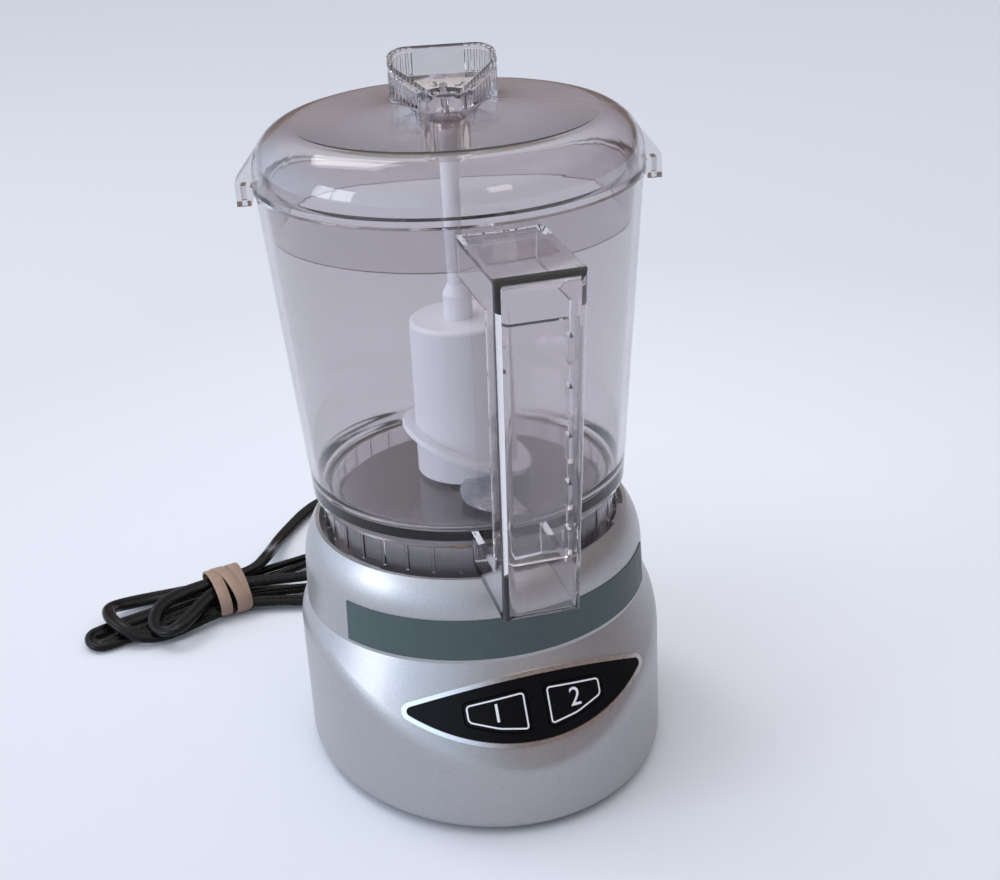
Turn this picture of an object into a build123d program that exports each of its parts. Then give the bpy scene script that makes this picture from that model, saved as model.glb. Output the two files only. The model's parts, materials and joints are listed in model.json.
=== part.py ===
from build123d import *
from math import atan2, cos, degrees, pi, radians, sin, sqrt, tan
import os

# A small food processor: clear lid and bowl, sickle blade, belt-driven base and bundled cord.
# Millimetres. The origin is on the drive axis at floor level, the front is -Y and up is +Z.

# Base casing
base_half_width = 65.5
base_nose = 79.4
base_tail = 64.0
base_bottom = 3.0
base_top = 90.5
flare_radius = 80.0
flare_bottom = 24.0
waist_radius = 62.6
waist_height = 61.0
shoulder_radius = 62.0
shoulder_height = 76.0
crest_radius = 57.0
casing_wall = 2.5
crease_round = 14.0
flare_slope = (flare_radius - waist_radius) / (waist_height - flare_bottom)

# Seat for the bowl on top of the base
seat_radius = 55.6
seat_floor = 82.0
plateau_radius = 47.0
plateau_top = 97.0
ceiling = seat_floor - casing_wall
lug_angles = (-30.0, 90.0, 210.0)
lug_half_angle = 7.0
lug_top = 87.2
tab_gap = 0.4

# Control panel and keys
panel_height = 47.0
panel_tip = (44.3, 4.9)
panel_tip_round = 1.6
panel_rise = 9.1
panel_drop = 13.1
panel_skin = 0.8
trim_skin = 1.2
trim_width = 1.7
key_place = (14.0, -1.5)
key_inner = (3.2, 5.1, -9.6)
key_outer = (24.8, 3.9, -3.4)
key_belly = (14.0, -7.6)
key_corner = 1.8
key_gap = 0.35
key_flange = 2.0
key_travel = 0.8
board_depth = 19.0
board_size = (70.0, 20.0)
board_thickness = 1.6
board_posts = ((-31.0, 0.0), (31.0, 0.0))
board_post_radius = 3.0

# Label strip
label_bottom = 62.5
label_top = 77.5
label_half_angle = 61.5
label_skin = 0.3

# Drive train
shaft_radius = 5.0
shaft_bottom = 17.0
shaft_top = 160.0
running_gap = 0.05
motor_place = (0.0, 34.0)
motor_radius = 21.0
motor_bottom = 36.3
motor_top = 76.0
motor_shaft_radius = 2.5
motor_pulley_radius = 6.0
driven_pulley_radius = 24.0
pulley_bottom = 20.0
pulley_top = 30.0
flange_height = 1.6
pulley_rim = 1.2
pulley_hole = (14.5, 4.8)
pulley_hole_count = 5
belt_gap = 0.3
belt_thickness = 1.6
belt_bottom = 21.6
belt_top = 28.4
chassis_bottom = 33.0
chassis_top = 36.0
chassis_posts = ((-36, -22), (36, -22), (-38, 10), (38, 10))
post_radius = 4.5
pilot_radius = 1.5
bush_radius = 8.0
bush_bottom = 84.0
bush_flange = 10.5
seal_radius = 8.2
seal_height = 2.6
bearing_boss_radius = 12.0
motor_screw_spread = 12.5

# Bowl
bowl_top = 214.7
bowl_top_radius = 65.0
bowl_foot = 103.4
bowl_foot_radius = 56.3
bowl_wall = 2.4
bowl_floor = 105.8
bowl_corner = 7.0
skirt_radius = 53.2
skirt_wall = 2.4
skirt_bottom = seat_floor + 0.3
rib_count = 36
rib_size = (1.4, 1.2)
tube_radius = 11.5
tube_bore = 8.75
tube_top = 150.0

# Handle
handle_turn = -2.5
handle_top = 213.0
handle_bottom = 95.5
handle_front_top = 110.5
handle_front_bottom = 95.5
handle_half_top = 13.7
handle_half_bottom = 12.5
handle_wall = 2.2
handle_depth = 13.0

# Lid, turned a little from the centre line of the base as it lies on the bowl
lid_turn = -13.0
lid_bottom = 215.0
lid_radius = 65.7
lid_wall = 2.2
dome_shoulder = (65.5, 219.8)
dome_crown = (52.0, 235.3)
dome_centre = 239.0
spigot_top_radius = 62.0
spigot_bottom_radius = 60.7
spigot_bottom = 200.0
ear_reach = 71.0
ear_half_width = 5.0
ear_wall = 1.6
ear_bottom = 209.3
ear_shoulder = 217.3
ear_crown = 228.0
ear_slot = (1.8, 10.0)
knob_width = 36.0
knob_back = 14.0
knob_front = 18.0
knob_back_height = 254.5
knob_front_height = 244.0
knob_height = 12.0
knob_corner = 7.0
knob_shoulder = 1.0
knob_nose = 5.0
groove_pitch = 2.1
groove_radius = 0.75
groove_margin = 1.8
groove_clear = 8.5
knob_wall = 2.0

# Blade assembly
hub_radius = 17.6
hub_bottom = 107.4
hub_top = 164.0
stem_radius = 3.05
stem_top = 231.0
fin_radius = 24.0
fin_height = 116.8
fin_tilt = 22.5
fin_heading = 170.0
fin_half_thickness = 0.9
blade_thickness = 1.2
blade_root = 15.6
blade_tip = (47.0, 3.0)
blade_cutting_edge = (33.0, -13.0)
blade_back = (30.0, 3.0)

# Cord
cord_diameter = 6.0
gland_height = 30.0
boot_end = 92.0
waist_place = (-81.0, 121.0)
hank_angle = 11.0
strand_pitch = 7.4
layer_step = 6.8
fold_height = 3.2
waist_lift = 1.8
tie_half_width = 7.5
tie_gap = 0.25
tie_thickness = 1.5

os.makedirs("parts", exist_ok=True)


def save(piece, name):
    """Label a finished piece and write it to its own file."""
    piece.part.label = name
    export_step(piece.part, f"parts/{name}.step")


def ring_profile(points):
    """Face on the XZ plane through straight runs of radius and height."""
    with BuildSketch(Plane.XZ) as profile:
        with BuildLine():
            Polyline(*points, close=True)
        make_face()
    return profile.sketch


def flare_at(height):
    """Radius of the flared front at a height."""
    return waist_radius + (waist_height - height) * flare_slope


def egg_plan(inset):
    """Egg-shaped plan of the base, drawn in by an inset."""
    half = base_half_width - inset
    with BuildSketch() as plan:
        with BuildLine():
            EllipticalCenterArc((0, 0), half, base_nose - inset, start_angle=180, arc_size=180)
            EllipticalCenterArc((0, 0), half, base_tail - inset, start_angle=0, arc_size=180)
        make_face()
    return plan.sketch


def base_form(inset):
    """Outer body of the base, drawn in by an inset: an egg prism under a flared, round-shouldered turning."""
    with BuildPart() as form:
        with BuildSketch(Plane.XZ):
            with BuildLine():
                Polyline(
                    (0, base_top - inset),
                    (0, base_bottom),
                    (flare_radius - inset, base_bottom),
                    (flare_radius - inset, flare_bottom),
                    (waist_radius - inset, waist_height),
                    (shoulder_radius - inset, shoulder_height),
                )
                shoulder = TangentArc(
                    (shoulder_radius - inset, shoulder_height),
                    (crest_radius - inset, base_top - inset),
                    tangent=(-0.04, 1),
                )
                Line(shoulder @ 1, (0, base_top - inset))
            make_face()
        revolve(axis=Axis.Z)
        add(extrude(egg_plan(inset), amount=2 * base_top, mode=Mode.PRIVATE), mode=Mode.INTERSECT)
    return form


# Key plane: square to the flared front at the middle of the panel
flare_angle = degrees(atan2(flare_slope, 1))
key_normal = Vector(0, -cos(radians(flare_angle)), sin(radians(flare_angle)))
panel_plane = Plane(
    origin=(0, -flare_at(panel_height), panel_height), x_dir=(1, 0, 0), z_dir=key_normal
)


def panel_outline(margin):
    """Almond outline of the panel, grown by a margin."""
    tip_x, tip_y = panel_tip
    with BuildSketch(panel_plane) as outline:
        with BuildLine():
            ThreePointArc((-tip_x, tip_y), (0, panel_rise), (tip_x, tip_y))
            ThreePointArc((tip_x, tip_y), (0, -panel_drop), (-tip_x, tip_y))
        make_face()
        fillet(outline.vertices(), panel_tip_round)
        if margin:
            offset(amount=margin)
    return outline.sketch


def key_outline(side, margin, depth=0):
    """Outline of the left (-1) or right (+1) key, grown by a margin, at a depth behind the panel."""
    with BuildSketch(panel_plane.offset(-depth)) as outline:
        with BuildLine():
            Polyline(
                (side * key_inner[0], key_inner[2]),
                (side * key_inner[0], key_inner[1]),
                (side * key_outer[0], key_outer[1]),
                (side * key_outer[0], key_outer[2]),
            )
            ThreePointArc(
                (side * key_outer[0], key_outer[2]),
                (side * key_belly[0], key_belly[1]),
                (side * key_inner[0], key_inner[2]),
            )
        make_face()
        fillet(outline.vertices(), key_corner)
        if margin:
            offset(amount=margin)
    return outline.sketch


def flare_skin(inner, outer):
    """Turned skin between two offsets from the flared front."""
    low = flare_bottom + 3
    high = waist_height - 0.5
    return revolve(
        ring_profile(
            (
                (flare_at(low) + inner, low),
                (flare_at(low) + outer, low),
                (flare_at(high) + outer, high),
                (flare_at(high) + inner, high),
            )
        ),
        axis=Axis.Z,
        mode=Mode.PRIVATE,
    )


# Base housing
boss_places = ((-49.9, -39.3), (49.9, -39.3), (-45.7, 35.7), (45.7, 35.7))
foot_places = ((-34, -50), (34, -50), (-28, 46), (28, 46))
switch_angle = 150.0
switch_radius = 51.8
switch_plane = Plane.XY.rotated((0, 0, switch_angle))
gland_axis = Plane(origin=(0, base_tail, gland_height), x_dir=(1, 0, 0), z_dir=(0, 1, 0))
gland_radius = 5.6
window_gap = 0.8
cover_boss_bottom = 7.2
cover_boss_height = 24.0
switch_wall = (58.2, 6.0, 10.0)
switch_wall_bottom = 50.0
pin_hole = 2.35
screw_hole = 1.7

outer_form = base_form(0)
crease = [
    edge
    for edge in outer_form.edges()
    if flare_bottom < edge.center().Z < waist_height and edge.geom_type != GeomType.CIRCLE and edge.length > 30
]
with BuildPart() as outer_body:
    add(outer_form.part)
    fillet(outer_body.edges().filter_by(lambda e: any((e.center() - c.center()).length < 0.01 for c in crease)),
           crease_round)
    fillet(outer_body.faces().sort_by(Axis.Z)[0].edges(), 2.4)

with BuildPart() as cavity:
    add(base_form(casing_wall).part)
    split(bisect_by=Plane.XY.offset(ceiling), keep=Keep.BOTTOM)
    with BuildSketch(Plane.XY):
        add(egg_plan(casing_wall))
    extrude(amount=base_bottom + 1)

with BuildPart() as post_limits:
    add(outer_form.part)
    with BuildSketch(Plane.XY.offset(ceiling)):
        Circle(plateau_radius)
    extrude(amount=plateau_top - ceiling)

with BuildPart() as inner_posts:
    with BuildSketch(Plane.XY.offset(chassis_top)):
        with Locations(*chassis_posts):
            Circle(post_radius)
    extrude(amount=plateau_top - 1 - chassis_top)
    with BuildSketch(Plane.XY.offset(cover_boss_bottom)):
        with Locations(*boss_places):
            Circle(post_radius)
    extrude(amount=cover_boss_height)
    with BuildSketch(switch_plane.offset(switch_wall_bottom)):
        with Locations((switch_wall[0], 0)):
            Rectangle(*switch_wall[1:])
    extrude(amount=ceiling + 1 - switch_wall_bottom)
    with BuildSketch(panel_plane.offset(-board_depth)):
        with Locations(*board_posts):
            Circle(board_post_radius)
    extrude(amount=board_depth - 1)
    add(post_limits.part, mode=Mode.INTERSECT)

with BuildPart() as base_housing:
    add(outer_body.part)
    add(cavity.part, mode=Mode.SUBTRACT)
    with BuildSketch(Plane.XY.offset(seat_floor)):
        Circle(seat_radius)
    extrude(amount=base_top, mode=Mode.SUBTRACT)
    with BuildSketch(Plane.XY.offset(ceiling)):
        Circle(plateau_radius)
    extrude(amount=plateau_top - ceiling)
    with BuildSketch(Plane.XY.offset(ceiling)):
        Circle(plateau_radius - casing_wall)
    extrude(amount=plateau_top - casing_wall - ceiling, mode=Mode.SUBTRACT)
    add(inner_posts.part)
    with BuildSketch(Plane.XY.offset(bush_bottom)):
        Circle(bearing_boss_radius)
    extrude(amount=plateau_top - bush_bottom)
    with BuildSketch(Plane.XY.offset(bush_bottom)):
        Circle(bush_radius)
    extrude(amount=plateau_top - bush_bottom, mode=Mode.SUBTRACT)
    with BuildSketch(Plane.XY.offset(chassis_top)):
        with Locations(*chassis_posts):
            Circle(pilot_radius)
    extrude(amount=12, mode=Mode.SUBTRACT)
    with BuildSketch(Plane.XY.offset(cover_boss_bottom)):
        with Locations(*boss_places):
            Circle(pilot_radius)
    extrude(amount=14, mode=Mode.SUBTRACT)
    with BuildSketch(panel_plane.offset(-board_depth)):
        with Locations(*board_posts):
            Circle(pilot_radius - 0.3)
    extrude(amount=7, mode=Mode.SUBTRACT)
    for side in (-1, 1):
        extrude(key_outline(side, window_gap), amount=20, both=True, mode=Mode.SUBTRACT)
    with BuildSketch(gland_axis.offset(-8)):
        Circle(gland_radius)
    extrude(amount=16, mode=Mode.SUBTRACT)
    with BuildSketch(switch_plane.offset(ceiling - 1)):
        with Locations((switch_radius, 0)):
            Circle(pin_hole)
    extrude(amount=5, mode=Mode.SUBTRACT)
    for angle in lug_angles:
        with BuildSketch(Plane.XY.offset(lug_top + tab_gap)):
            with BuildLine():
                spread = lug_half_angle + 1
                inner = CenterArc((0, 0), skirt_radius + 0.6, angle - spread, 2 * spread)
                outer = CenterArc((0, 0), seat_radius + 0.5, angle - spread, 2 * spread)
                Line(inner @ 0, outer @ 0)
                Line(inner @ 1, outer @ 1)
            make_face()
        extrude(amount=2)
save(base_housing, "base_housing")

# Bottom cover, feet and the screws that hold the cover
cover_bottom = 4.0
cover_thickness = 3.0
foot_radius = 8.0
foot_stud = 3.5
foot_head = 5.0
vent_place = (0.0, 6.0)
vent_pitch = 9.0
vent_count = 7
vent_slot = (26.0, 3.0)
with BuildPart() as bottom_cover:
    with BuildSketch(Plane.XY.offset(cover_bottom)):
        add(egg_plan(casing_wall + 0.3))
        with Locations(*boss_places):
            Circle(screw_hole, mode=Mode.SUBTRACT)
        with Locations(*foot_places):
            Circle(foot_stud, mode=Mode.SUBTRACT)
        with Locations(vent_place):
            with GridLocations(vent_pitch, 0, vent_count, 1):
                SlotCenterToCenter(*vent_slot, rotation=90, mode=Mode.SUBTRACT)
    extrude(amount=cover_thickness)
save(bottom_cover, "bottom_cover")

with BuildPart() as rubber_feet:
    with BuildSketch():
        with Locations(*foot_places):
            Circle(foot_radius)
    extrude(amount=cover_bottom)
    fillet(rubber_feet.faces().sort_by(Axis.Z)[:4].edges(), 1)
    with BuildSketch(Plane.XY.offset(cover_bottom)):
        with Locations(*foot_places):
            Circle(foot_stud)
    extrude(amount=cover_thickness)
    with BuildSketch(Plane.XY.offset(cover_bottom + cover_thickness)):
        with Locations(*foot_places):
            Circle(foot_head)
    extrude(amount=1.5)
save(rubber_feet, "rubber_feet")


def screw_group(plane, places, shank, length, head, head_height):
    """Pan-head screws with a cross recess, heads on the low side of a plane."""
    with BuildPart() as group:
        with BuildSketch(plane):
            with Locations(*places):
                Circle(shank)
        extrude(amount=length)
        with BuildSketch(plane):
            with Locations(*places):
                Circle(head)
        extrude(amount=-head_height)
        with BuildSketch(plane.offset(-head_height)):
            with Locations(*places):
                Rectangle(1.2 * head, 0.3 * head)
                Rectangle(0.3 * head, 1.2 * head)
        extrude(amount=0.6 * head_height, mode=Mode.SUBTRACT)
    return group


cover_screws = screw_group(
    Plane.XY.offset(cover_bottom), boss_places, shank=1.45, length=15, head=3, head_height=1.6
)
save(cover_screws, "cover_screws")

# Label strip on the straight waist
with BuildPart() as label_ring:
    with BuildSketch(Plane.XZ):
        with BuildLine():
            Polyline(
                (shoulder_radius + 0.02, label_bottom),
                (waist_radius + label_skin, label_bottom),
                (shoulder_radius + label_skin, label_top),
                (shoulder_radius - 0.04, label_top),
                close=True,
            )
        make_face()
    revolve(axis=Axis.Z, revolution_arc=2 * label_half_angle)
with BuildPart() as label_band:
    add(label_ring.part.rotate(Axis.Z, -90 - label_half_angle))
    add(outer_body.part, mode=Mode.SUBTRACT)
save(label_band, "label_band")

# Control panel, its trim and the two keys
with BuildPart() as panel_trim:
    add(flare_skin(-0.5, trim_skin))
    add(extrude(panel_outline(trim_width), amount=40, both=True, mode=Mode.PRIVATE), mode=Mode.INTERSECT)
    add(extrude(panel_outline(0.15), amount=40, both=True, mode=Mode.PRIVATE), mode=Mode.SUBTRACT)
    add(outer_body.part, mode=Mode.SUBTRACT)
save(panel_trim, "panel_trim")

with BuildPart() as control_panel:
    add(flare_skin(-0.5, panel_skin))
    add(extrude(panel_outline(0), amount=40, both=True, mode=Mode.PRIVATE), mode=Mode.INTERSECT)
    for side in (-1, 1):
        add(extrude(key_outline(side, key_gap), amount=40, both=True, mode=Mode.PRIVATE), mode=Mode.SUBTRACT)
    add(outer_body.part, mode=Mode.SUBTRACT)
save(control_panel, "control_panel")

flange_depth = 8.4
flange_thickness = 1.2
stem_depth = 12.5
key_stem = 2.5
tact_size = 6.0
tact_height = 3.6
tact_stem = 1.7
switch_places = [(side * key_place[0], key_place[1]) for side in (-1, 1)]
for side, name in ((-1, "key_one"), (1, "key_two")):
    with BuildPart() as key:
        extrude(key_outline(side, 0, flange_depth), amount=flange_depth + 4)
        add(flare_skin(-30, panel_skin + 0.2), mode=Mode.INTERSECT)
        extrude(key_outline(side, key_flange, flange_depth), amount=-flange_thickness)
        with BuildSketch(panel_plane.offset(-stem_depth)):
            with Locations((side * key_place[0], key_place[1])):
                Circle(key_stem)
        extrude(amount=stem_depth - flange_depth)
    save(key, name)

with BuildPart() as control_board:
    with BuildSketch(panel_plane.offset(-board_depth - board_thickness)):
        RectangleRounded(*board_size, 2)
        with Locations(*board_posts):
            Circle(pilot_radius - 0.1, mode=Mode.SUBTRACT)
    extrude(amount=board_thickness)
save(control_board, "control_board")

with BuildPart() as tact_switches:
    with BuildSketch(panel_plane.offset(-board_depth)):
        with Locations(*switch_places):
            Rectangle(tact_size, tact_size)
    extrude(amount=tact_height)
    with BuildSketch(panel_plane.offset(-board_depth)):
        with Locations(*switch_places):
            Circle(tact_stem)
    extrude(amount=board_depth - stem_depth - key_travel - 0.3)
save(tact_switches, "tact_switches")

board_back = panel_plane.offset(-board_depth - board_thickness)
board_screws = screw_group(board_back, board_posts, shank=1.15, length=7, head=2.6, head_height=1.6)
save(board_screws, "board_screws")

# Chassis plate that carries the motor and the lower bush
chassis_size = (76.0, 77.0)
chassis_corner = 22.0
chassis_centre = (0.0, 9.5)
chassis_ear = 7.0
motor_opening = 7.0
with BuildPart() as chassis_plate:
    with BuildSketch(Plane.XY.offset(chassis_bottom)):
        with Locations(chassis_centre):
            RectangleRounded(*chassis_size, chassis_corner)
        with Locations(*chassis_posts):
            Circle(chassis_ear)
        with Locations(*chassis_posts):
            Circle(screw_hole, mode=Mode.SUBTRACT)
        Circle(bush_radius, mode=Mode.SUBTRACT)
        with Locations(motor_place):
            Circle(motor_opening, mode=Mode.SUBTRACT)
            with PolarLocations(motor_screw_spread, 2):
                Circle(screw_hole, mode=Mode.SUBTRACT)
    extrude(amount=chassis_top - chassis_bottom)
save(chassis_plate, "chassis_plate")

chassis_screws = screw_group(
    Plane.XY.offset(chassis_bottom), chassis_posts, shank=1.45, length=14, head=3, head_height=1.8
)
save(chassis_screws, "chassis_screws")

# Motor: can, magnets, end cap, brushes and rotor


def motor_ring(outer, inner, bottom, top):
    """Turned ring on the motor axis."""
    with BuildPart() as ring:
        with BuildSketch(Plane.XY.offset(bottom)):
            with Locations(motor_place):
                Circle(outer)
                if inner:
                    Circle(inner, mode=Mode.SUBTRACT)
        extrude(amount=top - bottom)
    return ring


cap_top = motor_bottom + 4
magnet_bottom = 46.0
magnet_top = 70.0
magnet_inner = 16.4
magnet_gap = 14.0
can_wall = 1.4
can_boss = 5.5
armature_radius = 15.8
pole_count = 7
winding_slot = (3.4, 2.2)
with BuildPart() as motor_can:
    add(motor_ring(motor_radius, 0, cap_top, motor_top).part)
    add(motor_ring(motor_radius - can_wall, 0, cap_top, motor_top - can_wall).part, mode=Mode.SUBTRACT)
    add(motor_ring(can_boss, 0, motor_top - can_wall, motor_top + 2).part)
    add(motor_ring(motor_shaft_radius + running_gap, 0, motor_top - 5, motor_top + 1).part, mode=Mode.SUBTRACT)
save(motor_can, "motor_can")

with BuildPart() as motor_end_cap:
    add(motor_ring(motor_radius, motor_shaft_radius + running_gap, motor_bottom, cap_top).part)
    with BuildSketch(Plane.XY.offset(motor_bottom)):
        with Locations(motor_place):
            with PolarLocations(motor_screw_spread, 2):
                Circle(pilot_radius - 0.1)
    extrude(amount=3, mode=Mode.SUBTRACT)
save(motor_end_cap, "motor_end_cap")

motor_screw_places = [(motor_place[0] + way * motor_screw_spread, motor_place[1]) for way in (-1, 1)]
motor_screws = screw_group(
    Plane.XY.offset(chassis_bottom), motor_screw_places, shank=1.35, length=5.8, head=2.6, head_height=1.6
)
save(motor_screws, "motor_screws")

with BuildPart() as motor_magnets:
    add(motor_ring(motor_radius - can_wall - 0.05, magnet_inner, magnet_bottom, magnet_top).part)
    with BuildSketch(Plane.XY.offset(magnet_bottom)):
        with Locations(motor_place):
            Rectangle(magnet_gap, 3 * motor_radius)
    extrude(amount=magnet_top - magnet_bottom, mode=Mode.SUBTRACT)
save(motor_magnets, "motor_magnets")

commutator_radius = 5.5
brush_size = (12.0, 6.0)
brush_height = 5.0
with BuildPart() as brush_holders:
    with BuildSketch(Plane.XY.offset(cap_top)):
        with Locations(motor_place):
            with PolarLocations(commutator_radius + 0.5 + brush_size[0] / 2, 2, start_angle=90):
                Rectangle(*brush_size)
    extrude(amount=brush_height)
save(brush_holders, "brush_holders")

with BuildPart() as armature:
    add(motor_ring(armature_radius, motor_shaft_radius, magnet_bottom, magnet_top).part)
    with BuildSketch(Plane.XY.offset(magnet_bottom)):
        with Locations(motor_place):
            with PolarLocations(armature_radius - 2.6, pole_count):
                SlotCenterToCenter(*winding_slot)
    extrude(amount=magnet_top - magnet_bottom, mode=Mode.SUBTRACT)
save(armature, "armature")

commutator = motor_ring(commutator_radius, motor_shaft_radius, cap_top + 0.4, cap_top + 5)
save(commutator, "commutator")

motor_shaft = motor_ring(motor_shaft_radius, 0, pulley_bottom - 1, motor_top)
save(motor_shaft, "motor_shaft")

# Belt drive
with BuildPart() as motor_pulley:
    add(motor_ring(motor_pulley_radius, motor_shaft_radius, pulley_bottom, pulley_top).part)
    rim_radius = motor_pulley_radius + flange_height
    for bottom in (pulley_bottom, pulley_top - pulley_rim):
        add(motor_ring(rim_radius, motor_shaft_radius, bottom, bottom + pulley_rim).part)
save(motor_pulley, "motor_pulley")

with BuildPart() as driven_pulley:
    with BuildSketch(Plane.XZ):
        with BuildLine():
            Polyline(
                (shaft_radius, pulley_bottom),
                (driven_pulley_radius + flange_height, pulley_bottom),
                (driven_pulley_radius + flange_height, pulley_bottom + pulley_rim),
                (driven_pulley_radius, pulley_bottom + pulley_rim),
                (driven_pulley_radius, pulley_top - pulley_rim),
                (driven_pulley_radius + flange_height, pulley_top - pulley_rim),
                (driven_pulley_radius + flange_height, pulley_top),
                (shaft_radius, pulley_top),
                close=True,
            )
        make_face()
    revolve(axis=Axis.Z)
    with BuildSketch(Plane.XY.offset(pulley_bottom)):
        with PolarLocations(pulley_hole[0], pulley_hole_count):
            Circle(pulley_hole[1])
    extrude(amount=pulley_top - pulley_bottom, mode=Mode.SUBTRACT)
save(driven_pulley, "driven_pulley")


def belt_loop(growth):
    """Outline of a belt around both pulleys, off their faces by a growth."""
    with BuildSketch(Plane.XY.offset(belt_bottom)) as loop:
        Circle(driven_pulley_radius + growth)
        with Locations(motor_place):
            Circle(motor_pulley_radius + growth)
        make_hull()
    return loop.sketch


with BuildPart() as drive_belt:
    with BuildSketch(Plane.XY.offset(belt_bottom)):
        add(belt_loop(belt_gap + belt_thickness))
        add(belt_loop(belt_gap), mode=Mode.SUBTRACT)
    extrude(amount=belt_top - belt_bottom)
save(drive_belt, "drive_belt")


def axis_ring(outer, inner, bottom, top):
    """Turned ring on the drive axis."""
    with BuildPart() as ring:
        with BuildSketch(Plane.XY.offset(bottom)):
            Circle(outer)
            if inner:
                Circle(inner, mode=Mode.SUBTRACT)
        extrude(amount=top - bottom)
    return ring


drive_shaft = axis_ring(shaft_radius, 0, shaft_bottom, shaft_top)
save(drive_shaft, "drive_shaft")
retaining_clip = axis_ring(7, shaft_radius, pulley_top + 0.2, pulley_top + 1.1)
save(retaining_clip, "retaining_clip")

with BuildPart() as lower_bush:
    add(axis_ring(bush_radius, shaft_radius + running_gap, pulley_top + 1.6, chassis_top + 4).part)
    add(axis_ring(bush_flange, shaft_radius + running_gap, chassis_top, chassis_top + 2).part)
save(lower_bush, "lower_bush")

upper_bush = axis_ring(bush_radius, shaft_radius + running_gap, bush_bottom, plateau_top + 1)
save(upper_bush, "upper_bush")
with BuildPart() as shaft_seal:
    add(axis_ring(seal_radius, shaft_radius + 0.3, plateau_top + 1, plateau_top + 1 + seal_height).part)
    chamfer(shaft_seal.faces().sort_by(Axis.Z)[-1].edges().sort_by(SortBy.LENGTH)[-1], 1.2)
save(shaft_seal, "shaft_seal")

# Bowl interlock: a pin under the skirt works a switch on the casing
pin_rise = 2.5
pin_radius = 2.0
pin_collar = 3.2
pin_bottom = 64.0
switch_size = (6.4, 12.6)
switch_bottom = 52.0
switch_top = 62.0
unlock_angle = 25.0
with BuildPart() as interlock_pin:
    with BuildSketch(switch_plane.offset(pin_bottom)):
        with Locations((switch_radius, 0)):
            Circle(pin_radius)
    extrude(amount=seat_floor - pin_bottom)
    with BuildSketch(switch_plane.offset(pin_bottom)):
        with Locations((switch_radius, 0)):
            Circle(pin_collar)
    extrude(amount=1.5)
    fillet(interlock_pin.faces().sort_by(Axis.Z)[-1].edges(), 1)
save(interlock_pin, "interlock_pin")

with BuildPart() as interlock_switch:
    with BuildSketch(switch_plane.offset(switch_bottom)):
        with Locations((switch_radius, 0)):
            Rectangle(*switch_size)
    extrude(amount=switch_top - switch_bottom)
    with BuildSketch(switch_plane.offset(switch_top)):
        with Locations((switch_radius, 0)):
            Circle(1.4)
    extrude(amount=1.4)
save(interlock_switch, "interlock_switch")

# Bowl
bowl_slope = (bowl_top_radius - bowl_foot_radius) / (bowl_top - bowl_foot)


def bowl_radius(height):
    """Outer radius of the bowl wall at a height."""
    return bowl_foot_radius + (height - bowl_foot) * bowl_slope


ramp_slope = pin_rise / (switch_radius * sin(radians(unlock_angle)))
ramp_length = 28.0
ramp_start = -3.0
ramp_inside = 9.0
ramp_depth = 16.0
with BuildPart() as work_bowl:
    with BuildSketch(Plane.XZ):
        with BuildLine():
            Polyline(
                (tube_bore, bowl_foot - 0.2),
                (skirt_radius - skirt_wall, bowl_foot - 0.2),
                (skirt_radius - skirt_wall, skirt_bottom),
                (skirt_radius, skirt_bottom),
                (skirt_radius, bowl_foot - 1.6),
                (bowl_foot_radius - 1, bowl_foot - 1.6),
                (bowl_foot_radius, bowl_foot),
                (bowl_top_radius, bowl_top),
                (bowl_top_radius - bowl_wall, bowl_top),
                (bowl_radius(bowl_floor + bowl_corner) - bowl_wall, bowl_floor + bowl_corner),
            )
            corner = TangentArc(
                (bowl_radius(bowl_floor + bowl_corner) - bowl_wall, bowl_floor + bowl_corner),
                (bowl_radius(bowl_floor) - bowl_wall - bowl_corner, bowl_floor),
                tangent=(-bowl_slope, -1),
            )
            Polyline(
                corner @ 1,
                (tube_radius + 0.6, bowl_floor),
                (tube_radius - 0.4, tube_top),
                (tube_bore, tube_top),
                (tube_bore, bowl_foot - 0.2),
            )
        make_face()
    revolve(axis=Axis.Z)
    with BuildSketch(Plane.XY.offset(base_top + 0.8)):
        with PolarLocations(skirt_radius, rib_count):
            Rectangle(*rib_size)
    extrude(amount=bowl_foot - base_top - 2.6)
    for angle in lug_angles:
        with BuildSketch(Plane.XY.offset(skirt_bottom)):
            with BuildLine():
                inner = CenterArc((0, 0), skirt_radius - 1, angle - lug_half_angle, 2 * lug_half_angle)
                outer = CenterArc((0, 0), skirt_radius + 1.7, angle - lug_half_angle, 2 * lug_half_angle)
                Line(inner @ 0, outer @ 0)
                Line(inner @ 1, outer @ 1)
            make_face()
        extrude(amount=lug_top - skirt_bottom)
    ramp_side = Plane(
        origin=(
            (switch_radius - ramp_inside) * cos(radians(switch_angle)),
            (switch_radius - ramp_inside) * sin(radians(switch_angle)),
            skirt_bottom,
        ),
        x_dir=(sin(radians(switch_angle)), -cos(radians(switch_angle)), 0),
        z_dir=(-cos(radians(switch_angle)), -sin(radians(switch_angle)), 0),
    )
    with BuildSketch(ramp_side):
        with BuildLine():
            Polyline(
                (ramp_start, 0),
                (ramp_length, (ramp_length - ramp_start) * ramp_slope),
                (ramp_length, -5),
                (ramp_start, -5),
                close=True,
            )
        make_face()
    extrude(amount=-ramp_depth, mode=Mode.SUBTRACT)
save(work_bowl, "work_bowl")

with BuildPart() as bowl_solid:
    with BuildSketch(Plane.XZ):
        with BuildLine():
            Polyline(
                (0, base_top),
                (bowl_foot_radius, base_top),
                (bowl_foot_radius, bowl_foot),
                (bowl_top_radius, bowl_top),
                (0, bowl_top),
                close=True,
            )
        make_face()
    revolve(axis=Axis.Z)


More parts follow.
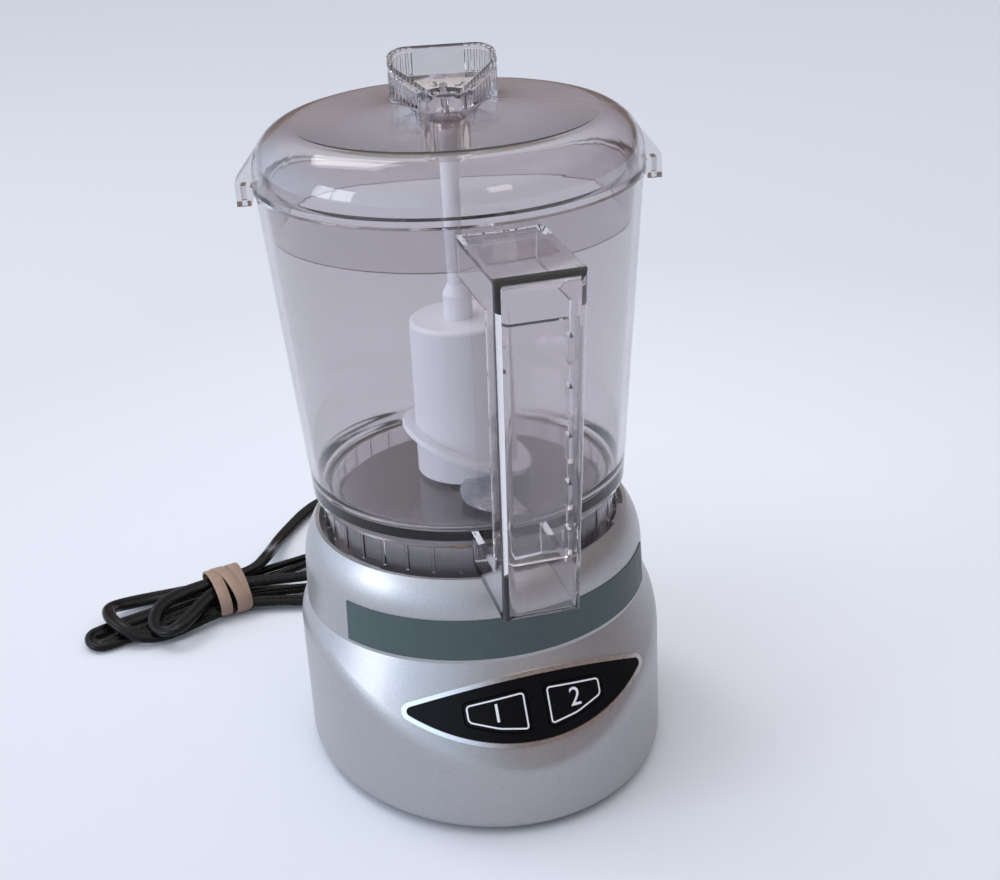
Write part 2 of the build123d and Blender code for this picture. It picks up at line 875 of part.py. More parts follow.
# Handle: a channel section that runs out, down and back to the bowl
def handle_side(inset, near):
    """Side view of the handle's outside, drawn in by an inset and closed at a nearness to the axis."""
    lean = (handle_front_top - handle_front_bottom) / (handle_top - handle_bottom)
    top = handle_top - inset
    bottom = handle_bottom + inset
    with BuildSketch(Plane.YZ) as side:
        with BuildLine():
            Polyline(
                (-near, top),
                (-(handle_front_top - lean * inset - inset), top),
                (-(handle_front_bottom + lean * inset - inset), bottom),
                (-near, bottom),
                close=True,
            )
        make_face()
    return side.sketch


def handle_block(inset, near):
    """Tapered block of the handle's side view."""
    with BuildPart() as block:
        extrude(handle_side(inset, near), amount=40, both=True)
        with BuildSketch(Plane.XZ):
            with BuildLine():
                Polyline(
                    (-handle_half_top + inset, handle_top),
                    (handle_half_top - inset, handle_top),
                    (handle_half_bottom - inset, handle_bottom),
                    (-handle_half_bottom + inset, handle_bottom),
                    close=True,
                )
            make_face()
        extrude(amount=200, mode=Mode.INTERSECT)
    return block


finger_gap = handle_side(handle_depth, 50)
with BuildPart() as handle_form:
    add(handle_block(0, 50).part)
    front_edges = handle_form.faces().sort_by(Axis.Y)[0].edges()
    fillet(front_edges, 3.5)
    add(handle_block(handle_wall, 40).part, mode=Mode.SUBTRACT)
    add(extrude(finger_gap, amount=40, both=True, mode=Mode.PRIVATE), mode=Mode.SUBTRACT)
    add(bowl_solid.part, mode=Mode.SUBTRACT)

with BuildPart() as bowl_handle:
    add(handle_form.part.rotate(Axis.Z, handle_turn))
save(bowl_handle, "bowl_handle")

# Plate that closes the grip on the finger side, with a row of snap tabs down each edge
grip_lean = degrees(atan2(handle_front_top - handle_front_bottom, handle_top - handle_bottom))
insert_depth = 10.5
insert_half = handle_half_bottom - handle_wall - 0.1
insert_length = 84.0
insert_thickness = 1.6
tab_count = 5
tab_size = (1.2, 9.0)
tab_height = 4.0
insert_plane = Plane(
    origin=(
        0,
        -(handle_front_top + handle_front_bottom) / 2 + insert_depth / cos(radians(grip_lean)),
        (handle_top + handle_bottom) / 2,
    ),
    x_dir=(1, 0, 0),
    z_dir=(0, -cos(radians(grip_lean)), -sin(radians(grip_lean))),
)
with BuildPart() as insert_form:
    with BuildSketch(insert_plane):
        Rectangle(2 * insert_half, insert_length)
    extrude(amount=insert_thickness)
    with BuildSketch(insert_plane.offset(insert_thickness)):
        with GridLocations(2 * insert_half - tab_size[0], insert_length / tab_count, 2, tab_count):
            Rectangle(*tab_size)
    extrude(amount=tab_height)

with BuildPart() as handle_insert:
    add(insert_form.part.rotate(Axis.Z, handle_turn))
save(handle_insert, "handle_insert")


# Lid: a dome with a spigot and two ears, and a knob let into its crown
def dome_solid(inset):
    """Turned solid of the dome's outside, drawn in by an inset."""
    shoulder = (dome_shoulder[0] - inset, dome_shoulder[1])
    crown = (dome_crown[0] - 0.4 * inset, dome_crown[1] - inset)
    centre = (0, dome_centre - inset)
    with BuildPart() as dome:
        with BuildSketch(Plane.XZ):
            with BuildLine():
                Polyline(centre, (0, lid_bottom), (lid_radius - inset, lid_bottom), shoulder)
                side = TangentArc(shoulder, crown, tangent=(0, 1))
                TangentArc(crown, centre, tangent=side % 1)
            make_face()
        revolve(axis=Axis.Z)
    return dome.part


knob_tilt = degrees(atan2(knob_back_height - knob_front_height, knob_back + knob_front))
knob_rim = Plane(
    origin=(0, 0, knob_front_height + knob_front * tan(radians(knob_tilt))),
    x_dir=(1, 0, 0),
    z_dir=(0, -sin(radians(knob_tilt)), cos(radians(knob_tilt))),
)
knob_floor = knob_rim.offset(-knob_height)


def knob_plan(plane, inset):
    """Rounded triangle of the knob with its point to the front."""
    stretch = 1 / cos(radians(knob_tilt))
    with BuildSketch(plane) as plan:
        with BuildLine():
            Polyline(
                (-knob_width / 2, knob_back * stretch),
                (knob_width / 2, knob_back * stretch),
                (knob_width / 2, knob_shoulder),
                (knob_nose, -knob_front * stretch),
                (-knob_nose, -knob_front * stretch),
                (-knob_width / 2, knob_shoulder),
                close=True,
            )
        make_face()
        fillet(plan.vertices(), knob_corner)
        if inset:
            offset(amount=-inset)
    return plan.sketch


# Grip of the knob: upright grooves round its sides, clear of the front facet and the middle of the back
groove_line = knob_plan(knob_rim.offset(-groove_margin), 0).wire()
groove_count = round(groove_line.length / groove_pitch)
groove_places = [groove_line @ (number / groove_count) for number in range(groove_count)]
with BuildPart() as knob_grooves:
    for place in groove_places:
        if abs(place.X) > groove_clear:
            with BuildSketch(Plane(origin=place, z_dir=knob_rim.z_dir)):
                Circle(groove_radius)
            extrude(amount=2 * groove_margin - knob_height)

boss_bottom = 224.0
boss_radius = 5.6
boss_spread = 11.0
with BuildPart() as knob_outside:
    extrude(knob_plan(knob_rim, 0), amount=-knob_height)

with BuildPart() as stem_boss:
    with BuildSketch(Plane.XZ):
        with BuildLine():
            Polyline(
                (0, boss_bottom),
                (boss_radius, boss_bottom),
                (boss_spread, stem_top + 2),
                (boss_spread, knob_back_height),
                (0, knob_back_height),
                close=True,
            )
        make_face()
    revolve(axis=Axis.Z)
    split(bisect_by=knob_floor, keep=Keep.BOTTOM)

with BuildPart() as pedestal:
    extrude(knob_plan(knob_floor, 0), amount=-knob_height)
    add(dome_solid(0), mode=Mode.SUBTRACT)

with BuildPart() as knob_form:
    add(knob_outside.part)
    add(pedestal.part)
    add(stem_boss.part)
    extrude(knob_plan(knob_rim, knob_wall), amount=knob_wall - knob_height, mode=Mode.SUBTRACT)
    with BuildSketch(Plane.XY.offset(boss_bottom - 1)):
        Circle(stem_radius + 0.35)
    extrude(amount=stem_top + 3 - boss_bottom, mode=Mode.SUBTRACT)
    with BuildSketch(Plane.XY.offset(boss_bottom)):
        with Locations((0, 8.5)):
            Circle(1.5)
    extrude(amount=knob_back_height - boss_bottom, mode=Mode.SUBTRACT)
    add(knob_grooves.part, mode=Mode.SUBTRACT)

with BuildPart() as lid_form:
    add(dome_solid(0))
    add(dome_solid(lid_wall), mode=Mode.SUBTRACT)
    with BuildSketch(Plane.XZ):
        with BuildLine():
            Polyline(
                (spigot_bottom_radius, spigot_bottom),
                (spigot_top_radius, lid_bottom),
                (lid_radius - 1, lid_bottom),
                (lid_radius - 1, lid_bottom + lid_wall),
                (spigot_top_radius - lid_wall, lid_bottom + lid_wall),
                (spigot_bottom_radius - lid_wall, spigot_bottom),
                close=True,
            )
        make_face()
    revolve(axis=Axis.Z)
    with BuildSketch(Plane.XZ):
        for side in (-1, 1):
            with BuildLine():
                Polyline(
                    (side * (lid_radius - 1), lid_bottom + 0.5),
                    (side * (bowl_top_radius + 1.2), lid_bottom + 0.5),
                    (side * (bowl_top_radius + 1.2), ear_bottom),
                    (side * ear_reach, ear_bottom),
                    (side * ear_reach, ear_shoulder),
                    (side * (lid_radius - 3), ear_crown),
                    close=True,
                )
            make_face()
    ears = extrude(amount=ear_half_width, both=True, mode=Mode.PRIVATE)
    with BuildSketch(Plane.XZ):
        for side in (-1, 1):
            with Locations((side * (ear_reach - 2.5), lid_bottom - 4)):
                Rectangle(*ear_slot)
    ear_slots = extrude(amount=ear_half_width - ear_wall, both=True, mode=Mode.PRIVATE)
    add(ears)
    add(ear_slots, mode=Mode.SUBTRACT)
    add(knob_outside.part, mode=Mode.SUBTRACT)
    add(stem_boss.part, mode=Mode.SUBTRACT)

with BuildPart() as lid:
    add(lid_form.part.rotate(Axis.Z, lid_turn))
save(lid, "lid")
with BuildPart() as lid_knob:
    add(knob_form.part.rotate(Axis.Z, lid_turn))
save(lid_knob, "lid_knob")

# Blade assembly: hub over the bowl's tube, two sickle blades and a stem up to the lid
hub_bore = 14.4
hub_cap = 152.0
collar_radius = 5.1
collar_side_top = 172.5
collar_top = 176.0
stem_seat = 162.5
blade_levels = ((108.4, -85.0, "lower_blade"), (123.6, 95.0, "upper_blade"))
blades = []
for level, facing, name in blade_levels:
    with BuildPart() as blade:
        with BuildSketch(Plane.XY.offset(level).rotated((0, 0, facing))):
            with BuildLine():
                ThreePointArc((blade_root, -6), blade_cutting_edge, blade_tip)
                ThreePointArc(blade_tip, blade_back, (blade_root, 7))
                Line((blade_root, 7), (blade_root, -6))
            make_face()
        extrude(amount=blade_thickness)
    save(blade, name)
    blades.append(blade.part)

fin_lean = sin(radians(fin_tilt))
fin_plane = Plane(
    origin=(0, 0, fin_height),
    z_dir=(
        -fin_lean * cos(radians(fin_heading)),
        -fin_lean * sin(radians(fin_heading)),
        cos(radians(fin_tilt)),
    ),
)
with BuildPart() as blade_hub:
    with BuildSketch(Plane.XZ):
        with BuildLine():
            Polyline(
                (hub_bore, hub_bottom),
                (hub_radius + 0.3, hub_bottom),
                (hub_radius - 0.2, hub_top),
                (collar_radius, hub_top),
                (collar_radius, collar_side_top),
                (stem_radius + 0.4, collar_top),
                (stem_radius, collar_top),
                (stem_radius, stem_seat),
                (0, stem_seat),
                (0, shaft_top + 0.3),
                (shaft_radius, shaft_top + 0.3),
                (shaft_radius, hub_cap),
                (hub_bore, hub_cap),
                close=True,
            )
        make_face()
    revolve(axis=Axis.Z)
    fillet(blade_hub.edges().filter_by(GeomType.CIRCLE).filter_by(
        lambda e: abs(e.center().Z - hub_top) < 0.01 and e.radius > collar_radius + 1), 1.6)
    with BuildSketch(fin_plane):
        Circle(fin_radius)
        Circle(hub_bore + 0.9, mode=Mode.SUBTRACT)
    extrude(amount=fin_half_thickness, both=True)
    for blade_part in blades:
        add(blade_part, mode=Mode.SUBTRACT)
save(blade_hub, "blade_hub")

with BuildPart() as hub_stem:
    with BuildSketch(Plane.XY.offset(stem_seat)):
        Circle(stem_radius)
    extrude(amount=stem_top - stem_seat)
    fillet(hub_stem.faces().sort_by(Axis.Z)[-1].edges(), 1.2)
save(hub_stem, "hub_stem")

# Strain relief at the back
cord_radius = cord_diameter / 2
with BuildPart() as strain_relief:
    with BuildSketch(Plane.YZ):
        with BuildLine():
            Polyline(
                (base_tail - 5.6, gland_height + cord_radius + 0.1),
                (base_tail - 5.6, gland_height + 8),
                (base_tail - 3.4, gland_height + 8),
                (base_tail - 3.4, gland_height + 5.5),
                (base_tail + 0.3, gland_height + 5.5),
                (base_tail + 0.3, gland_height + 7.6),
                (base_tail + 3, gland_height + 7),
                (base_tail + 3, gland_height + 5.6),
                (boot_end, gland_height + 4.2),
                (boot_end, gland_height + cord_radius + 0.1),
                close=True,
            )
        make_face()
    revolve(axis=Axis((0, 0, gland_height), (0, 1, 0)))
save(strain_relief, "strain_relief")

# Cord: a lead from the boot, three loops tied as a hank, and a tail to the plug
along = Vector(cos(radians(hank_angle)), sin(radians(hank_angle)), 0)
across = Vector(-sin(radians(hank_angle)), cos(radians(hank_angle)), 0)


def hank_point(u, v, z):
    """Place from distances along and across the hank and a height."""
    return Vector(waist_place[0], waist_place[1], 0) + along * u + across * v + Vector(0, 0, z)


def heading(angle):
    """Level direction at an angle in degrees from the hank's length."""
    return along * cos(radians(angle)) + across * sin(radians(angle))


def biarc(start, start_way, end, end_way):
    """Two tangent arcs, or a line, from one place and heading to another."""
    gap = end - start
    if (gap.normalized() - start_way).length < 1e-6 and (gap.normalized() - end_way).length < 1e-6:
        Line(start, end)
        return
    both = start_way + end_way
    a = 2 * (1 - start_way.dot(end_way))
    b = 2 * gap.dot(both)
    c = -gap.dot(gap)
    if abs(a) < 1e-9:
        reach = -c / b
    else:
        reach = (-b + sqrt(b * b - 4 * a * c)) / (2 * a)
    middle = (start + start_way * reach + end - end_way * reach) * 0.5
    first = TangentArc(start, middle, tangent=start_way)
    TangentArc(middle, end, tangent=first % 1)


def sweep_cord(path, name):
    """Round cord along a path of lines and arcs."""
    with BuildPart() as tube:
        with BuildSketch(Plane(origin=path @ 0, z_dir=path % 0)):
            Circle(cord_radius)
        sweep(path=path)
    expected = pi * cord_radius**2 * path.length
    print(name, "length", round(path.length, 1), "volume ratio", round(tube.part.volume / expected, 4))
    save(tube, name)


inner_row = strand_pitch / 2
outer_row = strand_pitch * 1.5
low_waist = fold_height + waist_lift
high_waist = low_waist + layer_step
high_fold = fold_height + layer_step
neck = tie_half_width + 0.5
short_run = 24.0
short_radius = 13.0
short_shift = -13.0
tip_run = 56.0
tip_radius = 6.5
tip_shift = -3.0
bulge_run = 34.0
bulge_reach = 53.2
bulge_back = 20.9
bulge_front = -17.5
bulge_top = 12.6
right_run = 40.0
right_fold = 60.0
fold_shift = -3.6
fold_radius = 11.6
wide_radius = 15.2
tail_row = 30.5
run_share = 0.45

# Each knot is a place along, across and up, and a heading in degrees from the hank's length.
# The order is: short loop in front, high fold on the right, narrow tip on the left, wide fold on the
# right, bulge over the tip on the left, and the row that ends in the plug.
loop_knots = [
    (-neck, inner_row, high_waist, 180),
    (-short_run, short_shift + short_radius, high_waist, 180),
    (-short_run, short_shift - short_radius, high_waist, 0),
    (-neck, -inner_row, high_waist, 0),
    (neck, -inner_row, high_waist, 0),
    (right_run, fold_shift - fold_radius, high_fold, 0),
    (right_fold, fold_shift - fold_radius, high_fold, 0),
    (right_fold, fold_shift + fold_radius, high_fold, 180),
    (right_run, fold_shift + fold_radius, fold_height, 180),
    (neck, inner_row, low_waist, 180),
    (-neck, inner_row, low_waist, 180),
    (-tip_run, tip_shift + tip_radius, fold_height, 180),
    (-tip_run, tip_shift - tip_radius, fold_height, 0),
    (-neck, -inner_row, low_waist, 0),
    (neck, -inner_row, low_waist, 0),
    (right_run, -wide_radius, fold_height, 0),
    (right_fold, -wide_radius, fold_height, 0),
    (right_fold, wide_radius, fold_height, 180),
    (right_run, wide_radius, fold_height, 180),
    (neck, outer_row, low_waist, 180),
    (-neck, outer_row, low_waist, 180),
    (-bulge_run, bulge_back, fold_height, 180),
    (-bulge_reach, tip_shift, bulge_top, 270),
    (-bulge_run, bulge_front, fold_height, 0),
    (-neck, -outer_row, low_waist, 0),
    (neck, -outer_row, low_waist, 0),
    (right_run, -tail_row, fold_height, 0),
    (right_fold, -tail_row, fold_height, 0),
]
with BuildLine() as hank_line:
    for near_knot, far_knot in zip(loop_knots, loop_knots[1:]):
        biarc(
            hank_point(*near_knot[:3]),
            heading(near_knot[3]),
            hank_point(*far_knot[:3]),
            heading(far_knot[3]),
        )
hank_path = hank_line.wires()[0]
sweep_cord(hank_path, "cord_hank")

samples = []
travelled = 0.0
for edge in hank_path.order_edges():
    for step in range(24):
        samples.append((travelled + edge.length * step / 24, edge @ (step / 24)))
    travelled += edge.length
least_gap = min(
    (here - there).length - cord_diameter
    for number, (mark, here) in enumerate(samples)
    for other_mark, there in samples[number + 1 :]
    if other_mark - mark > 4 * cord_diameter
)
print("hank least gap", round(least_gap, 2))

# Lead: straight out of the boot, down to the floor, round a wide bend and up onto the hank
lead_points = [
    Vector(0, base_tail - 4, gland_height),
    Vector(0, 114, gland_height),
    Vector(11, 151, fold_height),
    Vector(21, 173, fold_height),
    Vector(13.4, 193, fold_height),
    Vector(-5.6, 203, fold_height),
    Vector(-26.5, 198.4, fold_height),
    hank_point(42, 42, fold_height),
    hank_point(32, 28, 6.5),
    hank_point(24, 12, 12.6),
    hank_point(14, inner_row, high_waist),
    hank_point(-neck, inner_row, high_waist),
]
lead_radii = []
for before, corner, after in zip(lead_points, lead_points[1:], lead_points[2:]):
    turn = radians((corner - before).get_angle(after - corner))
    shorter = min((corner - before).length, (after - corner).length)
    lead_radii.append(run_share * shorter / tan(turn / 2))
print("lead radii", [round(radius, 1) for radius in lead_radii])
with BuildLine() as lead_line:
    FilletPolyline(*lead_points, radius=lead_radii)
lead_path = lead_line.wires()[0]
sweep_cord(lead_path, "cord_lead")

plug_height = 7.0
plug_start = hank_point(right_fold + 34, -tail_row, plug_height)
with BuildLine() as tail_line:
    biarc(hank_point(*loop_knots[-1][:3]), along, plug_start, along)
    Line(plug_start, plug_start + along * cord_diameter)
sweep_cord(tail_line.wires()[0], "cord_tail")

# Rubber band round the waist of the hank
tie_plane = Plane(origin=hank_point(-tie_half_width, 0, 0), x_dir=across, z_dir=along)
strand_places = [(v, low_waist) for v in (-outer_row, -inner_row, inner_row, outer_row)]
strand_places += [(v, high_waist) for v in (-inner_row, inner_row)]


def band_outline(growth):
    """Outline stretched round the strands at the waist."""
    with BuildSketch(tie_plane) as outline:
        with Locations(*strand_places):
            Circle(cord_radius + growth)
        make_hull()
    return outline.sketch


with BuildPart() as cord_tie:
    extrude(band_outline(tie_gap + tie_thickness), amount=2 * tie_half_width)
    extrude(band_outline(tie_gap), amount=2 * tie_half_width, mode=Mode.SUBTRACT)
save(cord_tie, "cord_tie")

# Moulded plug with two flat blades
plug_plane = Plane(origin=plug_start + along * cord_diameter * 0.5, x_dir=across, z_dir=along)
plug_length = 26.0
plug_neck = 8.0
plug_size = (22.0, 13.0)
plug_collar = (10.0, 9.0)
pin_pitch = 12.7
pin_size = (1.5, 6.35)
pin_root = 6.0
pin_length = 17.0
with BuildPart() as plug_body:
    with BuildSketch(plug_plane):
        RectangleRounded(*plug_collar, 3)
    with BuildSketch(plug_plane.offset(plug_neck)):
        RectangleRounded(*plug_size, 4)
    loft()
    with BuildSketch(plug_plane.offset(plug_neck)):
        RectangleRounded(*plug_size, 4)
    extrude(amount=plug_length - plug_neck)
    with BuildSketch(plug_plane):
        Circle(cord_radius)
    extrude(amount=cord_diameter * 0.5, mode=Mode.SUBTRACT)
    with BuildSketch(plug_plane.offset(plug_length - pin_root)):
        with GridLocations(pin_pitch, 0, 2, 1):
            Rectangle(*pin_size)
    extrude(amount=pin_root, mode=Mode.SUBTRACT)
save(plug_body, "plug_body")

with BuildPart() as plug_blades:
    with BuildSketch(plug_plane.offset(plug_length - pin_root)):
        with GridLocations(pin_pitch, 0, 2, 1):
            Rectangle(*pin_size)
    extrude(amount=pin_root + pin_length)
save(plug_blades, "plug_blades")
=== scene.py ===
"""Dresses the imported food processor: finishes for its solids, its bundled cord and a small studio."""

import json
import logging
import math
from dataclasses import dataclass, field
from enum import Enum

import bpy
from mathutils import Matrix, Vector


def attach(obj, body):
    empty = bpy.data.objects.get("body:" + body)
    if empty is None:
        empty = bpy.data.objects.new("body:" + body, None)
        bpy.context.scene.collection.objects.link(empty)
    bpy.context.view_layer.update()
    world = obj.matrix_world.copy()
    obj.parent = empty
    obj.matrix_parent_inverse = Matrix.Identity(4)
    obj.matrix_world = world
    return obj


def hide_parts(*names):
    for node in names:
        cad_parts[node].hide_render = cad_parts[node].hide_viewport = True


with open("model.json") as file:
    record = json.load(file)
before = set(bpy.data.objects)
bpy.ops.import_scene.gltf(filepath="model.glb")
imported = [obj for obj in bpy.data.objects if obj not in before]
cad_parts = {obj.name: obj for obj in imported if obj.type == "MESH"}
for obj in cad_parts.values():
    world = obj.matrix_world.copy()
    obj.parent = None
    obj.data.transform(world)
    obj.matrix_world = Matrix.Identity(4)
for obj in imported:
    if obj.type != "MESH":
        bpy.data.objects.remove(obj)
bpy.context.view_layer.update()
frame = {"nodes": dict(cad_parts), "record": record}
MM = 0.001
LOG = logging.getLogger("food_processor")

Colour = tuple[float, float, float]
Place = tuple[float, float, float]


class Body(Enum):
    """Bodies of the frame that new pieces ride on."""

    BASE = "base"
    KEY_ONE = "key_one"
    KEY_TWO = "key_two"


class Slot(Enum):
    """Material slots of the record that new pieces take."""

    CORD = "cord_black"
    BAND = "rubber_tan"
    WHITE = "white_plastic"


def deselect_all() -> None:
    """Leave nothing selected, so that an operator acts on new work alone."""
    if bpy.context.object and bpy.context.object.mode != "OBJECT":
        bpy.ops.object.mode_set(mode="OBJECT")
    bpy.ops.object.select_all(action="DESELECT")


def activate(piece: bpy.types.Object) -> None:
    """Make one object the only selected and the active one."""
    deselect_all()
    piece.select_set(True)
    bpy.context.view_layer.objects.active = piece


def apply_modifiers(piece: bpy.types.Object) -> None:
    """Apply every modifier of a piece in order."""
    activate(piece)
    for modifier in list(piece.modifiers):
        bpy.ops.object.modifier_apply(modifier=modifier.name)


def join(pieces: list[bpy.types.Object]) -> bpy.types.Object:
    """Join pieces into the first of them.

    Args:
        pieces: Meshes to join.

    Returns:
        The joined piece, which is the active object.
    """
    deselect_all()
    for piece in pieces:
        piece.select_set(True)
    bpy.context.view_layer.objects.active = pieces[0]
    bpy.ops.object.join()
    return bpy.context.object


class Surface:
    """A node material under construction, with one Principled shader at its end."""

    def __init__(self, name: str) -> None:
        """Start a material.

        Args:
            name: The material's name.
        """
        self.material = bpy.data.materials.new(name)
        self.material.use_nodes = True
        self.tree = self.material.node_tree
        self.shader = self.tree.nodes["Principled BSDF"]
        self.output = self.tree.nodes["Material Output"]
        self.place = self.node("ShaderNodeTexCoord").outputs["Object"]

    def node(self, kind: str, **values: object) -> bpy.types.Node:
        """Add a node and set its properties.

        Args:
            kind: The node's type name.
            values: Properties of the node.

        Returns:
            The new node.
        """
        made = self.tree.nodes.new(kind)
        for name, value in values.items():
            setattr(made, name, value)
        return made

    def link(self, source: bpy.types.NodeSocket, target: bpy.types.NodeSocket) -> None:
        """Join two sockets."""
        self.tree.links.new(source, target)

    def set(self, **values: object) -> None:
        """Set constant values on the shader's own sockets, with underscores for spaces."""
        for name, value in values.items():
            self.shader.inputs[name.replace("_", " ")].default_value = value

    def stretched(self, stretch: Place) -> bpy.types.NodeSocket:
        """Object coordinates stretched along the axes.

        Args:
            stretch: The factor along each axis.

        Returns:
            The socket with the stretched coordinates.
        """
        mapping = self.node("ShaderNodeMapping")
        mapping.inputs["Scale"].default_value = stretch
        self.link(self.place, mapping.inputs["Vector"])
        return mapping.outputs["Vector"]

    def noise(self, scale: float, detail: float = 4.0, stretch: Place | None = None) -> bpy.types.NodeSocket:
        """A noise value.

        Args:
            scale: Features per metre.
            detail: Octaves of detail.
            stretch: Stretch of the coordinates, if any.

        Returns:
            The socket with the value.
        """
        made = self.node("ShaderNodeTexNoise")
        made.inputs["Scale"].default_value = scale
        made.inputs["Detail"].default_value = detail
        self.link(self.stretched(stretch) if stretch else self.place, made.inputs["Vector"])
        return made.outputs["Fac"]

    def cells(self, scale: float) -> bpy.types.NodeSocket:
        """Random value for each cell of a fine cell pattern, for metal flakes.

        Args:
            scale: Cells per metre.

        Returns:
            The socket with each cell's colour.
        """
        made = self.node("ShaderNodeTexVoronoi")
        made.inputs["Scale"].default_value = scale
        self.link(self.place, made.inputs["Vector"])
        return made.outputs["Color"]

    def between(
        self, value: bpy.types.NodeSocket, low: float, high: float, start: float = 0.3, end: float = 0.7
    ) -> bpy.types.NodeSocket:
        """A value spread between two limits.

        Args:
            value: The socket that drives it.
            low: Result at the start of the driving range.
            high: Result at its end.
            start: Start of the driving range.
            end: End of the driving range.

        Returns:
            The socket with the result.
        """
        made = self.node("ShaderNodeMapRange")
        made.inputs["From Min"].default_value = start
        made.inputs["From Max"].default_value = end
        made.inputs["To Min"].default_value = low
        made.inputs["To Max"].default_value = high
        self.link(value, made.inputs["Value"])
        return made.outputs["Result"]

    def tint(self, value: bpy.types.NodeSocket, dark: Colour, light: Colour) -> bpy.types.NodeSocket:
        """A colour mixed from two by a value.

        Args:
            value: The socket that drives it.
            dark: Colour at low values.
            light: Colour at high values.

        Returns:
            The socket with the colour.
        """
        made = self.node("ShaderNodeMix", data_type="RGBA")
        made.inputs[6].default_value = (*dark, 1.0)
        made.inputs[7].default_value = (*light, 1.0)
        self.link(value, made.inputs[0])
        return made.outputs[2]

    def bump(self, height: bpy.types.NodeSocket, strength: float, depth: float) -> None:
        """Raise the surface by a height pattern.

        Args:
            height: The socket with the pattern.
            strength: How strongly it shows.
            depth: Real height of the pattern in metres.
        """
        made = self.node("ShaderNodeBump")
        made.inputs["Strength"].default_value = strength
        made.inputs["Distance"].default_value = depth
        self.link(height, made.inputs["Height"])
        self.link(made.outputs["Normal"], self.shader.inputs["Normal"])


@dataclass(frozen=True)
class Finish:
    """A moulded, painted or machined surface with fine grain.

    Attributes:
        name: The material's name.
        dark: Colour in the grain's low places.
        light: Colour in its high places.
        smooth: Lowest roughness.
        rough: Highest roughness.
        metal: Metallic share.
        coat: Weight of a clear coat.
        shine: Strength of plain reflection, 0.5 for most plastics.
        grain: Features of the grain per metre.
        stretch: Stretch of the grain, as on brushed metal.
        relief: Strength of the grain's bump.
        depth: Height of the bump in metres.
    """

    name: str
    dark: Colour
    light: Colour
    smooth: float
    rough: float
    metal: float = 0.0
    coat: float = 0.0
    shine: float = 0.5
    grain: float = 900.0
    stretch: Place | None = None
    relief: float = 0.15
    depth: float = 0.00004

    def material(self) -> bpy.types.Material:
        """Build the node material."""
        surface = Surface(self.name)
        grain = surface.noise(self.grain, stretch=self.stretch)
        surface.link(surface.tint(grain, self.dark, self.light), surface.shader.inputs["Base Color"])
        surface.link(surface.between(grain, self.smooth, self.rough), surface.shader.inputs["Roughness"])
        surface.set(Metallic=self.metal, Coat_Weight=self.coat, Coat_Roughness=0.08)
        surface.set(Specular_IOR_Level=self.shine)
        surface.bump(grain, self.relief, self.depth)
        return surface.material


@dataclass(frozen=True)
class FlakePaint:
    """Silver paint with fine metal flakes under a satin coat.

    Attributes:
        name: The material's name.
        dark: Colour of the flakes that lean away.
        light: Colour of the flakes that catch the light.
        flakes: Flakes per metre.
        roughness: Lowest and highest roughness.
        clouds: Patches of differing roughness per metre.
        metal: Metallic share.
        coat: Weight and roughness of the coat.
        relief: Strength of the flakes' bump.
        depth: Height of that bump in metres.
    """

    name: str = "silver_paint"
    dark: Colour = (0.37, 0.365, 0.375)
    light: Colour = (0.44, 0.435, 0.445)
    flakes: float = 2600.0
    roughness: tuple[float, float] = (0.35, 0.43)
    clouds: float = 26.0
    metal: float = 0.85
    coat: tuple[float, float] = (0.2, 0.25)
    relief: float = 0.02
    depth: float = 0.00002

    def material(self) -> bpy.types.Material:
        """Build the node material."""
        surface = Surface(self.name)
        flake = surface.cells(self.flakes)
        cloud = surface.noise(self.clouds, detail=3.0)
        surface.link(surface.tint(flake, self.dark, self.light), surface.shader.inputs["Base Color"])
        surface.link(surface.between(cloud, *self.roughness), surface.shader.inputs["Roughness"])
        surface.set(Metallic=self.metal, Coat_Weight=self.coat[0], Coat_Roughness=self.coat[1])
        surface.bump(flake, self.relief, self.depth)
        return surface.material


@dataclass(frozen=True)
class ClearPlastic:
    """Smoky clear plastic that lets lamps shine through.

    Attributes:
        name: The material's name.
        tint: Colour of the plastic.
        shade: Colour of the light it lets through to what is behind.
        index: Refractive index.
        roughness: Lowest and highest roughness, from wear.
        wear: Patches of wear per metre.
        waves: Waves of the moulded face per metre.
        relief: Strength of the waves' bump.
        depth: Height of that bump in metres.
    """

    name: str = "clear_smoke"
    tint: Colour = (0.745, 0.715, 0.73)
    shade: Colour = (0.93, 0.92, 0.94)
    index: float = 1.46
    roughness: tuple[float, float] = (0.015, 0.06)
    wear: float = 55.0
    waves: float = 18.0
    relief: float = 0.08
    depth: float = 0.0004

    def material(self) -> bpy.types.Material:
        """Build the node material."""
        surface = Surface(self.name)
        wear = surface.noise(self.wear, detail=6.0)
        surface.link(surface.between(wear, *self.roughness), surface.shader.inputs["Roughness"])
        surface.set(Base_Color=(*self.tint, 1.0), Transmission_Weight=1.0, IOR=self.index)
        surface.bump(surface.noise(self.waves, detail=2.0), self.relief, self.depth)
        through = surface.node("ShaderNodeBsdfTransparent")
        through.inputs["Color"].default_value = (*self.shade, 1.0)
        path = surface.node("ShaderNodeLightPath")
        mix = surface.node("ShaderNodeMixShader")
        surface.link(path.outputs["Is Shadow Ray"], mix.inputs[0])
        surface.link(surface.shader.outputs["BSDF"], mix.inputs[1])
        surface.link(through.outputs["BSDF"], mix.inputs[2])
        surface.link(mix.outputs["Shader"], surface.output.inputs["Surface"])
        return surface.material


